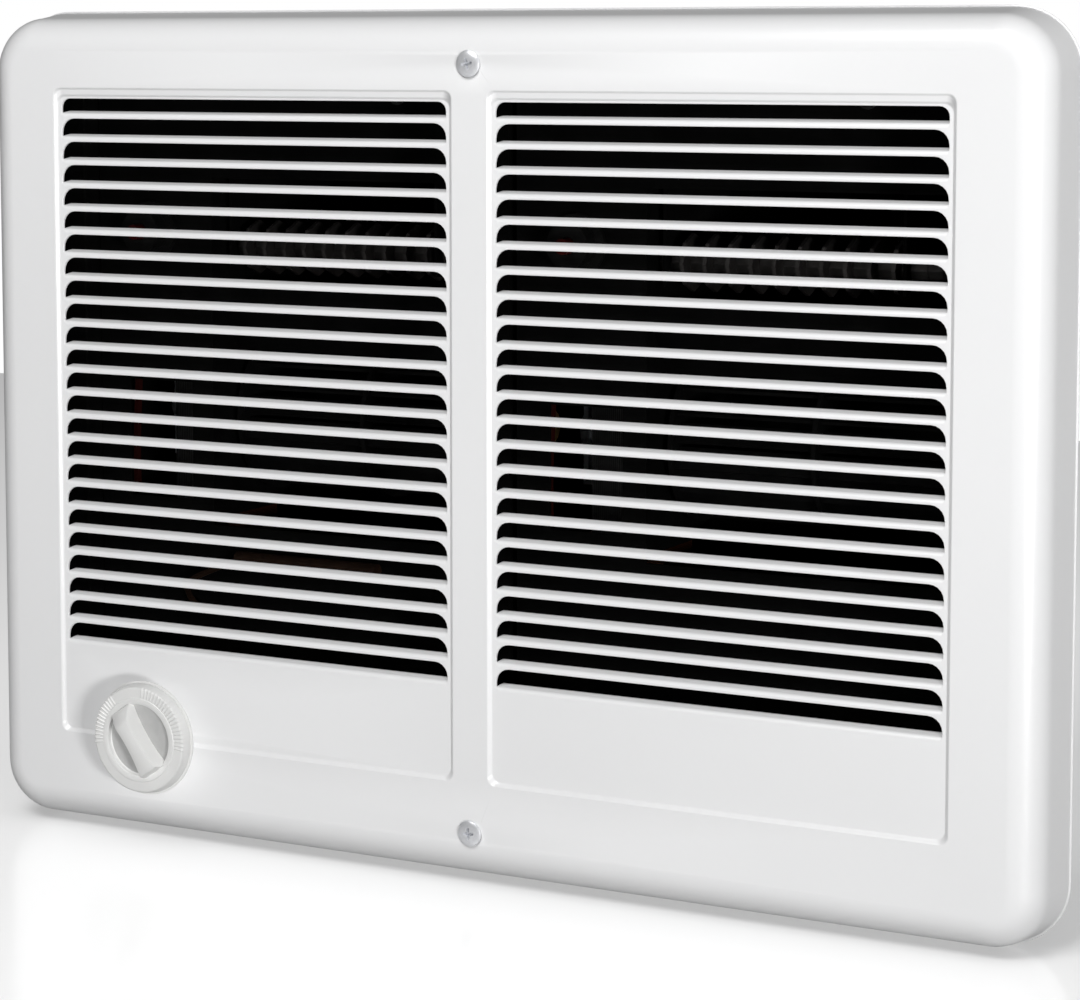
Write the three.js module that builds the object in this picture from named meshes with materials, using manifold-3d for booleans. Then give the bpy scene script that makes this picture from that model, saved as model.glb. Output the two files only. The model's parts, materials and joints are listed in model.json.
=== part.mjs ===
// Twin in-wall bathroom fan heater: a stamped steel louvred cover over a wall can that holds two identical
// tangential-blower heater modules side by side, with a dial thermostat at the lower left.
//
// Millimetres. The origin is the centre of the cover on the finished wall surface.
// +X is to the viewer's right, +Z is up and +Y runs into the wall, so the front of the cover is at -Y.

import * as THREE from "three";
import { mergeVertices } from "three/addons/utils/BufferGeometryUtils.js";
import Module from "manifold-3d";

const wasm = await Module();
wasm.setup();

// ---------------------------------------------------------------- driving dimensions

const seatGap = 0.3; // between two pieces that touch
const runGap = 0.35; // radial, between a turning shaft and its bore
const bendSteps = 4; // facets of a small rounded corner

// cover: one drawn sheet with two recessed louvred fields
const coverWidth = 411;
const coverHeight = 302;
const coverDepth = 25;
const coverSheet = 1;
const coverCorner = 22; // outline corner at the wall
const coverEdge = 12; // roll between the front and the side walls
const coverFlare = 2.4; // how far the side walls lean out on their way to the wall
const coverScrewInset = 18.8; // from the cover's top or bottom edge
const coverScrewHole = 2.6;
const dialHole = 8;

// recessed fields
const fieldSideInset = 32.7; // from the cover's side edge
const fieldTopInset = 29.4;
const fieldBottomInset = 35.9;
const fieldInnerX = 6.5;
const fieldRecess = 1.2;
const fieldSlope = 1.8;
const fieldCorner = 3;

// louvres
const slotCount = 24;
const slotPitch = 8.45;
const slotHeight = 6.35;
const firstSlotHeight = 5.2;
const firstSlotInset = 7.5; // from the field's top to the first slot's lower edge
const slotSideMargin = 3;
const slotCorner = 4.9;
const firstSlotCorner = 3.3;
const lipDepth = 3;
const lipRise = 0.7;
const lipSheet = 0.8;

// wall can
const canSheet = 1;
const canSideGap = 1; // between the can's side and a module
const canFloorGap = 1.8; // between the can's floor and the thermostat
const canBackGap = 2.5; // between the can's back and the blower housings
const flangeWidth = 12; // of the can's flange on the wall, beside the can
const flangeMargin = 6.8; // of the flange, beyond the cover screw
const studHoleRadius = 2.5;
const studHoleInset = 30;
const knockoutRadius = 11;
const knockoutRaise = 0.6;

// heater module (both are the same)
const moduleEndRoom = 14; // from the wheel to the module's right edge
const moduleGap = 3;
const deckSheet = 1;
const deckSetback = 7; // from the wall surface to the deck's front
const deckEndGap = 2; // between the deck's ends and the can
const deckFlange = 15;
const deckScrewInset = 44; // from the module's right edge
const tabWidth = 24;
const tabReach = 10;

// blower
const wheelRadius = 30;
const wheelLength = 108;
const wheelStart = 52; // from the module's left edge
const wheelBlades = 18;
const bladeChord = 8;
const bladeSheet = 1.2;
const discSheet = 1.6;
const wheelFrontRoom = 12; // between the deck and the wheel
const shaftRadius = 3;
const housingSheet = 1;
const housingEndGap = 3; // between the wheel and the housing's cheeks
const guideGap = 5; // between the wheel and the guide sheet
const tongueRoom = 16; // from the wheel's top to the tongue's front edge
const ductHalf = 18; // from the tongue to the element, and about as much above it
const ductHeadroom = 10; // extra height above the element
const ductBend = 20;

// motor
const motorCentre = 27;
const stackLength = 16;
const statorWidth = 44;
const statorTop = 22;
const statorBottom = -58;
const poleGap = 0.8;
const rotorRadius = 12.7;
const rotorLength = 18;
const coilWidth = 23.4;
const coilWall = 7.5;
const bracketStand = 10;
const bracketSheet = 2;
const bracketHeight = 38;
const bossRadius = 7;
const mountSheet = 1.5;
const coilLegTop = -44;
const coilWindowTop = -20;
const bushRadius = 6;
const bushLength = 6;
const bushFlange = 9;

// finned element
const tubeRadius = 4;
const finRadius = 10;
const finPitch = 8.5;
const finSheet = 1.4;
const runSpacing = 24;
const elementBehindDeck = 16;
const terminalReach = 9;
const supportSheet = 1.2;
const supportInset = 3; // from the housing's left cheek
const supportFoot = 6;

// limit switch
const limitAcross = 24;
const limitDrop = 22; // below the duct's top
const limitRadius = 8;
const limitFront = 9; // body in front of the deck
const limitBack = 8; // body behind the deck
const limitFlange = 11;
const buttonRadius = 2.8;
const buttonProud = 4;

// terminal block and wiring
const blockGap = 9.5; // beside the thermostat
const blockLength = 38;
const blockRise = 19.2; // its top, above the dial's axis
const blockHeight = 16;
const blockDepth = 15.7;
const wireRadius = 1.6;

// thermostat and dial
const dialFromSide = 43.3; // from the field's outer edge
const dialRise = 3.9; // above the field's lower edge
const dialRearRadius = 20.8;
const dialFrontRadius = 19.2;
const dialThickness = 5;
const dialStandOff = 9; // between the cover and the dial's back
const dialWall = 2;
const dishRadius = 13;
const dishDepth = 2;
const gripLength = 26;
const gripEnd = 8.4;
const gripWaist = 5.6;
const gripProud = 4.5;
const gripAngle = 35; // degrees the grip leans to the left at rest
const hubRadius = 6.2;
const thermostatWidth = 36;
const thermostatHeight = 26;
const thermostatDepth = 27.7;
const neckRadius = 4.8;
const nutRadius = 8;
const nutThickness = 3;
const bulbRadius = 2.7;
const bulbLength = 60;
const bulbDrop = 15; // below the blower's guide sheet
const bulbInset = 10; // from the wheel's left end
const capillaryRadius = 1.2;

// screws
const screwRadius = 2.1;
const screwHole = 2.5;
const panHeadRadius = 3.6;
const panHeadHeight = 2.2;
const panHeadCrown = 0.6;
const ovalHeadRadius = 4.55;
const ovalHeadHeight = 1.5;
const ovalHeadCrown = 1.1;
const crossSlot = 0.9;

// ---------------------------------------------------------------- derived places

const coverFront = -coverDepth;
const coverScrewZ = coverHeight / 2 - coverScrewInset;
const fieldFront = coverFront + fieldRecess;
const fieldOuterX = coverWidth / 2 - fieldSideInset;
const fieldTop = coverHeight / 2 - fieldTopInset;
const fieldBottom = -coverHeight / 2 + fieldBottomInset;
const slotOuterX = fieldOuterX - slotSideMargin;
const slotInnerX = fieldInnerX + slotSideMargin;
const firstSlotBottom = fieldTop - firstSlotInset;
const dialX = -fieldOuterX + dialFromSide;
const dialZ = fieldBottom + dialRise;
const deckFront = deckSetback;
const deckBack = deckFront + deckSheet;
const wheelEnd = wheelStart + wheelLength;
const moduleWidth = wheelEnd + moduleEndRoom;
const moduleStarts = { left: -moduleGap / 2 - moduleWidth, right: moduleGap / 2 };
const axisY = deckBack + wheelFrontRoom + wheelRadius;
const axisZ = 0;
const guideRadius = wheelRadius + guideGap;
const housingBack = axisY + guideRadius + guideGap / 2;
const cheekInner = wheelEnd + housingEndGap;
const cheekOuter = wheelStart - housingEndGap;
const tongueZ = axisZ + wheelRadius + tongueRoom;
const elementY = deckBack + elementBehindDeck;
const elementZ = tongueZ + ductHalf;
const ductTop = elementZ + ductHalf + ductHeadroom;
const limitZ = ductTop - limitDrop;
const canFront = -canSheet;
const canBack = housingBack + canBackGap + canSheet;
const canDepth = canBack - canFront;
const canWidth = 2 * (moduleWidth + canSideGap + canSheet) + moduleGap;
const canHeight = 2 * (thermostatHeight / 2 - dialZ + canFloorGap + canSheet);
const deckHeight = canHeight - 2 * (canSheet + deckEndGap);
const tabFront = deckBack + seatGap;
const dialAcross = dialX - moduleStarts.left;
const blockStart = dialAcross + thermostatWidth / 2 + blockGap;
const blockTop = dialZ + blockRise;
const bulbZ = axisZ - guideRadius - bulbDrop;

// ---------------------------------------------------------------- materials

function finish(color, roughness, metalness) {
  return new THREE.MeshStandardMaterial({ color, roughness, metalness });
}

const whiteEnamel = finish(0xececec, 0.35, 0);
const whitePlastic = finish(0xe2e2df, 0.45, 0);
const zincSteel = finish(0xb4b8bb, 0.4, 0.9);
const blackEnamel = finish(0x17181a, 0.6, 0.2);
const screwSteel = finish(0xd0d0d4, 0.3, 0.9);
const laminatedSteel = finish(0x55585c, 0.55, 0.8);
const copperWinding = finish(0xa8542c, 0.4, 0.7);
const sinteredBronze = finish(0x9a7b4f, 0.5, 0.8);
const blackAluminium = finish(0x26282a, 0.5, 0.4);
const elementSteel = finish(0x3b3836, 0.6, 0.8);
const blackPhenolic = finish(0x18181a, 0.5, 0);
const redPlastic = finish(0xb02a22, 0.4, 0);
const redInsulation = finish(0x9c2320, 0.5, 0);
const blackInsulation = finish(0x1d1d1f, 0.5, 0);
const greenScrew = finish(0x2d7a3c, 0.4, 0.7);

// ---------------------------------------------------------------- solids

// A closed three.js geometry as a solid that can be joined and cut.
function solid(geometry) {
  const plain = geometry.index ? geometry.toNonIndexed() : geometry.clone();
  const bare = new THREE.BufferGeometry().setAttribute("position", plain.getAttribute("position"));
  const merged = mergeVertices(bare, 1e-4);
  return new wasm.Manifold(
    new wasm.Mesh({
      numProp: 3,
      vertProperties: merged.attributes.position.array,
      triVerts: new Uint32Array(merged.index.array),
    }),
  );
}

function joined(...solids) {
  return solids.reduce((whole, part) => whole.add(part));
}

function cut(body, ...tools) {
  return tools.reduce((rest, tool) => rest.subtract(tool), body);
}

// A solid as a named mesh.
function mesh(name, body, material) {
  const { vertProperties, triVerts } = body.getMesh();
  const indexed = new THREE.BufferGeometry()
    .setAttribute("position", new THREE.BufferAttribute(new Float32Array(vertProperties), 3))
    .setIndex(new THREE.BufferAttribute(new Uint32Array(triVerts), 1));
  const geometry = indexed.toNonIndexed();
  geometry.computeVertexNormals();
  const made = new THREE.Mesh(geometry, material);
  made.name = name;
  return made;
}

function box(x0, x1, y0, y1, z0, z1) {
  const made = new THREE.BoxGeometry(x1 - x0, y1 - y0, z1 - z0);
  return solid(made.translate((x0 + x1) / 2, (y0 + y1) / 2, (z0 + z1) / 2));
}

// A round bar from one end to the other along X or Y, centred on the other two coordinates.
function barX(radius, x0, x1, y, z, sides = 16) {
  const made = new THREE.CylinderGeometry(radius, radius, x1 - x0, sides).rotateZ(Math.PI / 2);
  return solid(made.translate((x0 + x1) / 2, y, z));
}

function barY(radius, y0, y1, x, z, sides = 16) {
  const made = new THREE.CylinderGeometry(radius, radius, y1 - y0, sides);
  return solid(made.translate(x, (y0 + y1) / 2, z));
}

function barZ(radius, z0, z1, x, y, sides = 16) {
  const made = new THREE.CylinderGeometry(radius, radius, z1 - z0, sides).rotateX(Math.PI / 2);
  return solid(made.translate(x, y, (z0 + z1) / 2));
}

// An outline in Y and Z, drawn out along X.
function extrudeX(outline, x0, x1, holes = []) {
  const shape = new THREE.Shape(outline.map(([y, z]) => new THREE.Vector2(y, z)));
  shape.holes = holes.map((hole) => new THREE.Path(hole.map(([y, z]) => new THREE.Vector2(y, z))));
  const made = new THREE.ExtrudeGeometry(shape, { depth: x1 - x0, bevelEnabled: false });
  const turn = new THREE.Matrix4().makeBasis(
    new THREE.Vector3(0, 1, 0),
    new THREE.Vector3(0, 0, 1),
    new THREE.Vector3(1, 0, 0),
  );
  return solid(made.applyMatrix4(turn).translate(x0, 0, 0));
}

// An outline in X and Z, drawn out along Y from y0 at the front to y1 at the back.
function extrudeY(outline, y0, y1) {
  const shape = new THREE.Shape(outline.map(([x, z]) => new THREE.Vector2(x, z)));
  const made = new THREE.ExtrudeGeometry(shape, { depth: y1 - y0, bevelEnabled: false });
  return solid(made.rotateX(Math.PI / 2).translate(0, y1, 0));
}

// Points of an arc, both ends included, with angles in degrees.
function arc(cx, cz, radiusX, radiusZ, from, to, steps) {
  return Array.from({ length: steps + 1 }, (_, i) => {
    const angle = THREE.MathUtils.degToRad(from + ((to - from) * i) / steps);
    return [cx + radiusX * Math.cos(angle), cz + radiusZ * Math.sin(angle)];
  });
}

// A rectangle with round corners, anticlockwise, with the same number of points whatever its size.
function roundedRectangle(x0, x1, z0, z1, corner, steps) {
  return [
    ...arc(x1 - corner, z0 + corner, corner, corner, -90, 0, steps),
    ...arc(x1 - corner, z1 - corner, corner, corner, 0, 90, steps),
    ...arc(x0 + corner, z1 - corner, corner, corner, 90, 180, steps),
    ...arc(x0 + corner, z0 + corner, corner, corner, 180, 270, steps),
  ];
}

// A solid through outlines in X and Z that follow each other from the back (large y) to the front.
function loft(rings) {
  const count = rings[0].outline.length;
  const positions = rings.flatMap(({ y, outline }) => outline.flatMap(([x, z]) => [x, y, z]));
  const index = [];
  for (let ring = 0; ring < rings.length - 1; ring++) {
    for (let i = 0; i < count; i++) {
      const next = (i + 1) % count;
      const [a, b] = [ring * count + i, ring * count + next];
      const [c, d] = [a + count, b + count];
      index.push(a, b, d, a, d, c);
    }
  }
  const cap = (ring, flip) => {
    const contour = rings[ring].outline.map(([x, z]) => new THREE.Vector2(x, z));
    for (const [a, b, c] of THREE.ShapeUtils.triangulateShape(contour, [])) {
      const [p, q, r] = [a, b, c].map((i) => ring * count + i);
      index.push(...(flip ? [p, r, q] : [p, q, r]));
    }
  };
  cap(0, true);
  cap(rings.length - 1, false);
  const made = new THREE.BufferGeometry()
    .setAttribute("position", new THREE.BufferAttribute(new Float32Array(positions), 3))
    .setIndex(index);
  return solid(made);
}

// A solid of revolution about Y. The profile lists [radius, y] and starts and ends on the axis.
function turned(profile, x, z, sides) {
  const points = profile.map(([radius, y]) => new THREE.Vector2(radius, y));
  const made = solid(new THREE.LatheGeometry(points, sides).translate(x, 0, z));
  if (made.volume() > 0) return made;
  return solid(new THREE.LatheGeometry(points.reverse(), sides).translate(x, 0, z));
}

// A round wire or tube through points.
function tube(points, radius, steps, sides = 6) {
  const path = new THREE.CatmullRomCurve3(points.map((p) => new THREE.Vector3(...p)));
  const section = new THREE.Shape(
    arc(0, 0, radius, radius, 0, 360 - 360 / sides, sides - 1).map(([x, y]) => new THREE.Vector2(x, y)),
  );
  return solid(new THREE.ExtrudeGeometry(section, { extrudePath: path, steps, bevelEnabled: false }));
}

// ---------------------------------------------------------------- cover

// The cover's outside, or its inside when inset by the sheet, from the wall to the front.
function coverForm(inset, backY) {
  const edge = coverEdge - inset;
  const frontY = coverFront + inset;
  const wallEndY = frontY + edge;
  const outlineAt = (y, inward) => {
    const inX = coverWidth / 2 - inset - inward;
    const inZ = coverHeight / 2 - inset - inward;
    const corner = Math.max(coverCorner - inset - inward, 0.4);
    return { y, outline: roundedRectangle(-inX, inX, -inZ, inZ, corner, 6) };
  };
  const rings = [outlineAt(backY, 0), outlineAt(wallEndY, coverFlare)];
  const rollSteps = 5;
  for (let i = 1; i <= rollSteps; i++) {
    const angle = ((Math.PI / 2) * i) / rollSteps;
    rings.push(outlineAt(wallEndY - edge * Math.sin(angle), coverFlare + edge * (1 - Math.cos(angle))));
  }
  return loft(rings);
}

// The tapered block that presses one field back, grown all round by grow.
function fieldPress(side, grow) {
  const x0 = side === "left" ? -fieldOuterX : fieldInnerX;
  const x1 = x0 + fieldOuterX - fieldInnerX;
  const outlineAt = (y, inward) => ({
    y,
    outline: roundedRectangle(
      x0 + inward - grow,
      x1 - inward + grow,
      fieldBottom + inward - grow,
      fieldTop - inward + grow,
      fieldCorner,
      bendSteps,
    ),
  });
  const overlap = coverSheet / 2;
  const slopePerDepth = fieldSlope / fieldRecess;
  return loft([
    outlineAt(fieldFront + grow, fieldSlope),
    outlineAt(coverFront - overlap + grow, -overlap * slopePerDepth),
    outlineAt(coverFront - coverSheet * 2, -overlap * slopePerDepth),
  ]);
}

// One louvre slot: square below, with round corners above.
function slotCut(x0, x1, bottom, height, corner) {
  const top = bottom + height;
  const outline = [
    [x0, bottom],
    [x1, bottom],
    ...arc(x1 - corner, top - corner, corner, corner, 0, 90, bendSteps),
    ...arc(x0 + corner, top - corner, corner, corner, 90, 180, bendSteps),
  ];
  return extrudeY(outline, fieldFront - coverSheet, fieldFront + 2 * coverSheet);
}

// The lip turned in along a slot's lower edge.
function slotLip(x0, x1, bottom) {
  const root = fieldFront + coverSheet / 2;
  const tip = fieldFront + coverSheet + lipDepth;
  const outline = [
    [root, bottom - lipSheet],
    [tip, bottom + lipRise - lipSheet],
    [tip, bottom + lipRise],
    [root, bottom],
  ];
  return extrudeX(outline, x0 + slotSideMargin / 4, x1 - slotSideMargin / 4);
}

function frontCover() {
  const inside = ["left", "right"].reduce(
    (rest, side) => rest.subtract(fieldPress(side, coverSheet)),
    coverForm(coverSheet, coverSheet),
  );
  let body = ["left", "right"].reduce(
    (rest, side) => rest.subtract(fieldPress(side, 0)),
    coverForm(0, 0).subtract(inside),
  );
  for (const [x0, x1] of [
    [-slotOuterX, -slotInnerX],
    [slotInnerX, slotOuterX],
  ]) {
    for (let slot = 0; slot < slotCount; slot++) {
      const bottom = firstSlotBottom - slot * slotPitch;
      const [height, corner] = slot === 0 ? [firstSlotHeight, firstSlotCorner] : [slotHeight, slotCorner];
      body = body.subtract(slotCut(x0, x1, bottom, height, corner));
      body = body.add(slotLip(x0, x1, bottom));
    }
  }
  for (const z of [coverScrewZ, -coverScrewZ]) {
    body = body.subtract(barY(coverScrewHole, coverFront - 1, coverFront + 3, 0, z, 12));
  }
  body = body.subtract(barY(dialHole, coverFront - 1, coverFront + 5, dialX, dialZ, 20));
  return mesh("front_cover", body, whiteEnamel);
}

// A machine screw along Y: its head's underside is at seatY and its tip at tipY.
function screwSolid(headRadius, headHeight, crown, seatY, tipY, x, z) {
  return turned(
    [
      [0, seatY - headHeight],
      [headRadius * 0.6, seatY - headHeight + crown / 2],
      [headRadius, seatY - headHeight + crown],
      [headRadius, seatY],
      [screwRadius, seatY],
      [screwRadius, tipY - screwRadius / 2],
      [screwRadius / 2, tipY],
      [0, tipY],
    ],
    x,
    z,
    12,
  );
}

function coverScrew(name, z) {
  const seatY = coverFront - seatGap;
  const tipY = canSheet + 1;
  const half = ovalHeadRadius * 0.5;
  const recess = [seatY - ovalHeadHeight - 1, seatY - ovalHeadHeight * 0.4];
  const body = cut(
    screwSolid(ovalHeadRadius, ovalHeadHeight, ovalHeadCrown, seatY, tipY, 0, z),
    box(-half, half, ...recess, z - crossSlot / 2, z + crossSlot / 2),
    box(-crossSlot / 2, crossSlot / 2, ...recess, z - half, z + half),
  );
  return mesh(name, body, screwSteel);
}

// ---------------------------------------------------------------- wall can

function wallCan() {
  const [halfX, halfZ] = [canWidth / 2, canHeight / 2];
  const [innerX, innerZ] = [halfX - canSheet, halfZ - canSheet];
  const [flangeX, flangeZ] = [halfX + flangeWidth, coverScrewZ + flangeMargin];
  let body = cut(
    joined(
      box(-halfX, halfX, canFront, canBack, -halfZ, halfZ),
      box(-flangeX, flangeX, canFront, canFront + canSheet, -flangeZ, flangeZ),
    ),
    box(-innerX, innerX, canFront - 1, canBack - canSheet, -innerZ, innerZ),
  );
  for (const up of [1, -1]) {
    body = body.subtract(barY(screwHole, canFront - 1, canFront + 3, 0, up * coverScrewZ, 12));
    for (const start of Object.values(moduleStarts)) {
      const centre = start + moduleWidth - deckScrewInset;
      const [tip, root] = [up * (innerZ - tabReach), up * (innerZ + canSheet / 2)];
      const [t0, t1] = [Math.min(tip, root), Math.max(tip, root)];
      const tab = box(centre - tabWidth / 2, centre + tabWidth / 2, tabFront, tabFront + canSheet, t0, t1);
      const screwAt = up * deckScrewZ();
      body = body.add(tab.subtract(barY(screwHole, tabFront - 1, tabFront + 3, centre, screwAt, 12)));
    }
  }
  for (const side of [1, -1]) {
    for (const z of [halfZ - studHoleInset, -halfZ + studHoleInset]) {
      for (const y of [studHoleInset / 2, canDepth - studHoleInset]) {
        body = body.subtract(barX(studHoleRadius, side * halfX - 3, side * halfX + 3, y, z, 12));
      }
    }
    const discX = side * (canWidth / 4);
    const [discY, discZ] = [canBack + knockoutRaise, -halfZ - knockoutRaise];
    body = body.add(barY(knockoutRadius, canBack - canSheet / 2, discY, discX, -canHeight / 4, 20));
    body = body.add(barZ(knockoutRadius, discZ, -halfZ + canSheet / 2, discX, canBack * 0.7, 20));
  }
  body = body.subtract(barZ(screwHole, -halfZ - 3, -halfZ + 3, groundX, groundY, 12));
  return mesh("wall_can", body, zincSteel);
}

function deckScrewZ() {
  return canHeight / 2 - canSheet - tabReach / 2;
}

const groundX = moduleStarts.right + moduleWidth * 0.8;
const groundY = canBack * 0.6;

function groundScrew() {
  const wallZ = -canHeight / 2 + canSheet;
  const body = screwSolid(panHeadRadius, panHeadHeight, panHeadCrown, 0, canSheet + 4, 0, 0);
  const made = mesh("ground_screw", body, greenScrew);
  made.rotation.x = -Math.PI / 2;
  made.position.set(groundX, groundY, wallZ + seatGap);
  return made;
}

// ---------------------------------------------------------------- heater module, from its left edge

function deck(name, hasThermostat) {
  const half = deckHeight / 2;
  const windowEnd = cheekInner - 1;
  const windowStart = cheekOuter + 1;
  let body = joined(
    box(0, moduleWidth, deckFront, deckBack, -half, half),
    box(0, deckSheet, deckFront, deckFront + deckFlange, -half, half),
    box(moduleWidth - deckSheet, moduleWidth, deckFront, deckFront + deckFlange, -half, half),
  );
  body = cut(
    body,
    box(windowStart, windowEnd, deckFront - 1, deckBack + 1, tongueZ + 4, ductTop - 2),
    box(windowStart, windowEnd, deckFront - 1, deckBack + 1, axisZ - guideRadius - 4, tongueZ - 4),
    box(motorCentre - 14, motorCentre + 14, deckFront - 1, deckBack + 1, -30, 14),
    barY(limitRadius + seatGap, deckFront - 1, deckBack + 1, limitAcross, limitZ, 16),
    ...[1, -1].map((up) =>
      barY(screwHole, deckFront - 1, deckBack + 1, moduleWidth - deckScrewInset, up * deckScrewZ(), 12),
    ),
  );
  if (hasThermostat) {
    body = cut(
      body,
      barY(neckRadius + seatGap, deckFront - 1, deckBack + 1, dialAcross, dialZ, 16),
      barY(capillaryRadius + 1.5, deckFront - 1, deckBack + 1, ...capillaryHole(), 10),
    );
  }
  return mesh(name, body, blackEnamel);
}

function deckScrew(name, z) {
  const seatY = deckFront - seatGap;
  const tipY = tabFront + canSheet + 3;
  const x = moduleWidth - deckScrewInset;
  const body = screwSolid(panHeadRadius, panHeadHeight, panHeadCrown, seatY, tipY, x, z);
  return mesh(name, body, screwSteel);
}

// A sheet that follows a line of [y, z] points, thickened to its left.
function bentSheet(line, thickness) {
  const offset = line.map(([y, z], i) => {
    const [py, pz] = line[Math.max(i - 1, 0)];
    const [ny, nz] = line[Math.min(i + 1, line.length - 1)];
    const length = Math.hypot(ny - py, nz - pz);
    return [y - ((nz - pz) / length) * thickness, z + ((ny - py) / length) * thickness];
  });
  return [...line, ...offset.reverse()];
}

function blowerHousing(name) {
  const front = deckBack + seatGap;
  const [x0, x1] = [cheekOuter, cheekInner];
  const guideLine = [
    ...arc(axisY, axisZ, guideRadius + guideGap / 2, guideRadius, -105, 0, 8),
    ...arc(housingBack - ductBend, ductTop - ductBend, ductBend, ductBend, 0, 90, 4),
    [front, ductTop],
  ];
  const tongueLine = [
    [axisY - wheelRadius * 0.78, axisZ + wheelRadius * 0.86],
    [front + 4, tongueZ],
    [front, tongueZ],
  ];
  const cheek = [
    [front, axisZ - guideRadius - 2],
    [axisY, axisZ - guideRadius - 2],
    [housingBack, axisZ - guideRadius / 2],
    [housingBack, ductTop - ductBend],
    [housingBack - ductBend / 2, ductTop],
    [front, ductTop],
  ];
  const cheeks = [x0 - housingSheet, x1].map((x) => extrudeX(cheek, x, x + housingSheet));
  const reach = housingSheet / 2;
  let body = joined(
    extrudeX(bentSheet(guideLine, housingSheet), x0 - reach, x1 + reach),
    extrudeX(bentSheet(tongueLine, housingSheet), x0 - reach, x1 + reach),
    ...cheeks,
  );
  body = cut(
    body,
    barX(shaftRadius + 4, x0 - 3, x0 + 3, axisY, axisZ, 16),
    barX(bushRadius + seatGap, x1 - 3, x1 + 3, axisY, axisZ, 16),
    barX(tubeRadius + seatGap, x0 - 3, x0 + 3, elementY, elementZ, 12),
    barX(tubeRadius + seatGap, x0 - 3, x0 + 3, elementY + runSpacing, elementZ, 12),
  );
  return mesh(name, body, blackEnamel);
}

function blowerWheel(name) {
  const discs = [wheelStart, wheelStart + wheelLength / 2 - discSheet / 2, wheelEnd - discSheet].map((x) =>
    barX(wheelRadius, x, x + discSheet, axisY, axisZ, 32),
  );
  let body = joined(...discs);
  const lean = THREE.MathUtils.degToRad(55);
  for (let blade = 0; blade < wheelBlades; blade++) {
    const angle = (blade / wheelBlades) * Math.PI * 2;
    const radius = wheelRadius - bladeChord / 2 - 0.6;
    const geometry = new THREE.BoxGeometry(wheelLength - discSheet, bladeSheet, bladeChord)
      .rotateX(angle + lean)
      .translate(
        (wheelStart + wheelEnd) / 2,
        axisY - radius * Math.sin(angle),
        axisZ + radius * Math.cos(angle),
      );
    body = body.add(solid(geometry));
  }
  const bore = shaftRadius + seatGap;
  body = body.add(barX(bossRadius, wheelStart + discSheet / 2, wheelStart + 10, axisY, axisZ, 16));
  body = body.subtract(barX(bore, wheelStart - 1, wheelEnd + 1, axisY, axisZ, 16));
  return mesh(name, body, blackAluminium);
}

const shaftStart = motorCentre - stackLength / 2 - bracketStand - 4;
const shaftEnd = cheekInner + housingSheet + bushLength - 2;

function blowerShaft(name) {
  return mesh(name, barX(shaftRadius, shaftStart, shaftEnd, axisY, axisZ), screwSteel);
}

function endBearing(name) {
  const seat = cheekInner + housingSheet + seatGap;
  const body = cut(
    joined(
      barX(bushRadius, cheekInner - 1, seat + bushLength - 1, axisY, axisZ),
      barX(bushFlange, seat, seat + 2, axisY, axisZ),
    ),
    barX(shaftRadius + runGap, cheekInner - 2, seat + bushLength, axisY, axisZ),
  );
  return mesh(name, body, sinteredBronze);
}

function motorRotor(name) {
  const half = rotorLength / 2;
  const body = cut(
    barX(rotorRadius, motorCentre - half, motorCentre + half, axisY, axisZ, 24),
    barX(shaftRadius + seatGap, motorCentre - half - 1, motorCentre + half + 1, axisY, axisZ),
  );
  return mesh(name, body, laminatedSteel);
}

function motorStator(name) {
  const half = stackLength / 2;
  const [y0, y1] = [axisY - statorWidth / 2, axisY + statorWidth / 2];
  const windowHalf = coilWidth / 2 + seatGap;
  const body = cut(
    box(motorCentre - half, motorCentre + half, y0, y1, statorBottom, statorTop),
    barX(rotorRadius + poleGap, motorCentre - half - 1, motorCentre + half + 1, axisY, axisZ, 24),
    box(
      motorCentre - half - 1,
      motorCentre + half + 1,
      axisY - windowHalf,
      axisY + windowHalf,
      coilLegTop,
      coilWindowTop,
    ),
  );
  return mesh(name, body, laminatedSteel);
}

function motorCoil(name) {
  const legHalf = stackLength / 2 + seatGap;
  const outerHalf = legHalf + coilWall;
  const [legBottom, legTop] = [statorBottom - seatGap, coilLegTop + seatGap];
  const [y0, y1] = [axisY - coilWidth / 2, axisY + coilWidth / 2];
  const body = cut(
    box(motorCentre - outerHalf, motorCentre + outerHalf, y0, y1, legBottom - coilWall, legTop + coilWall),
    box(motorCentre - legHalf, motorCentre + legHalf, y0 - 1, y1 + 1, legBottom, legTop),
  );
  return mesh(name, body, copperWinding);
}

// A strap that stands off the lamination stack and carries the shaft in its boss.
// towards is 1 or -1 along X.
function bearingBracket(name, towards) {
  const seat = motorCentre + towards * (stackLength / 2 + seatGap);
  const top = seat + towards * bracketStand;
  const span = (a, b) => [Math.min(a, b), Math.max(a, b)];
  const half = bracketHeight / 2;
  const width = bossRadius + 1;
  const body = joined(
    box(...span(top - towards * bracketSheet, top), axisY - width, axisY + width, -half, half),
    ...[1, -1].map((up) =>
      box(...span(seat, top), axisY - width, axisY + width, ...span(up * (half - bracketSheet), up * half)),
    ),
    barX(bossRadius, ...span(top - towards * 5, top + towards * 2), axisY, axisZ),
  );
  const bore = barX(shaftRadius + runGap, ...span(seat, top + towards * 4), axisY, axisZ);
  return mesh(name, body.subtract(bore), zincSteel);
}

// The angle that hangs the stator from the deck's back.
function motorMount(name) {
  const front = deckBack + seatGap;
  const under = statorTop + seatGap;
  const half = stackLength / 2 + 4;
  const outline = [
    [front, under],
    [axisY + statorWidth / 2, under],
    [axisY + statorWidth / 2, under + mountSheet],
    [front + mountSheet, under + mountSheet],
    [front + mountSheet, under + 14],
    [front, under + 14],
  ];
  return mesh(name, extrudeX(outline, motorCentre - half, motorCentre + half), zincSteel);
}

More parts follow.
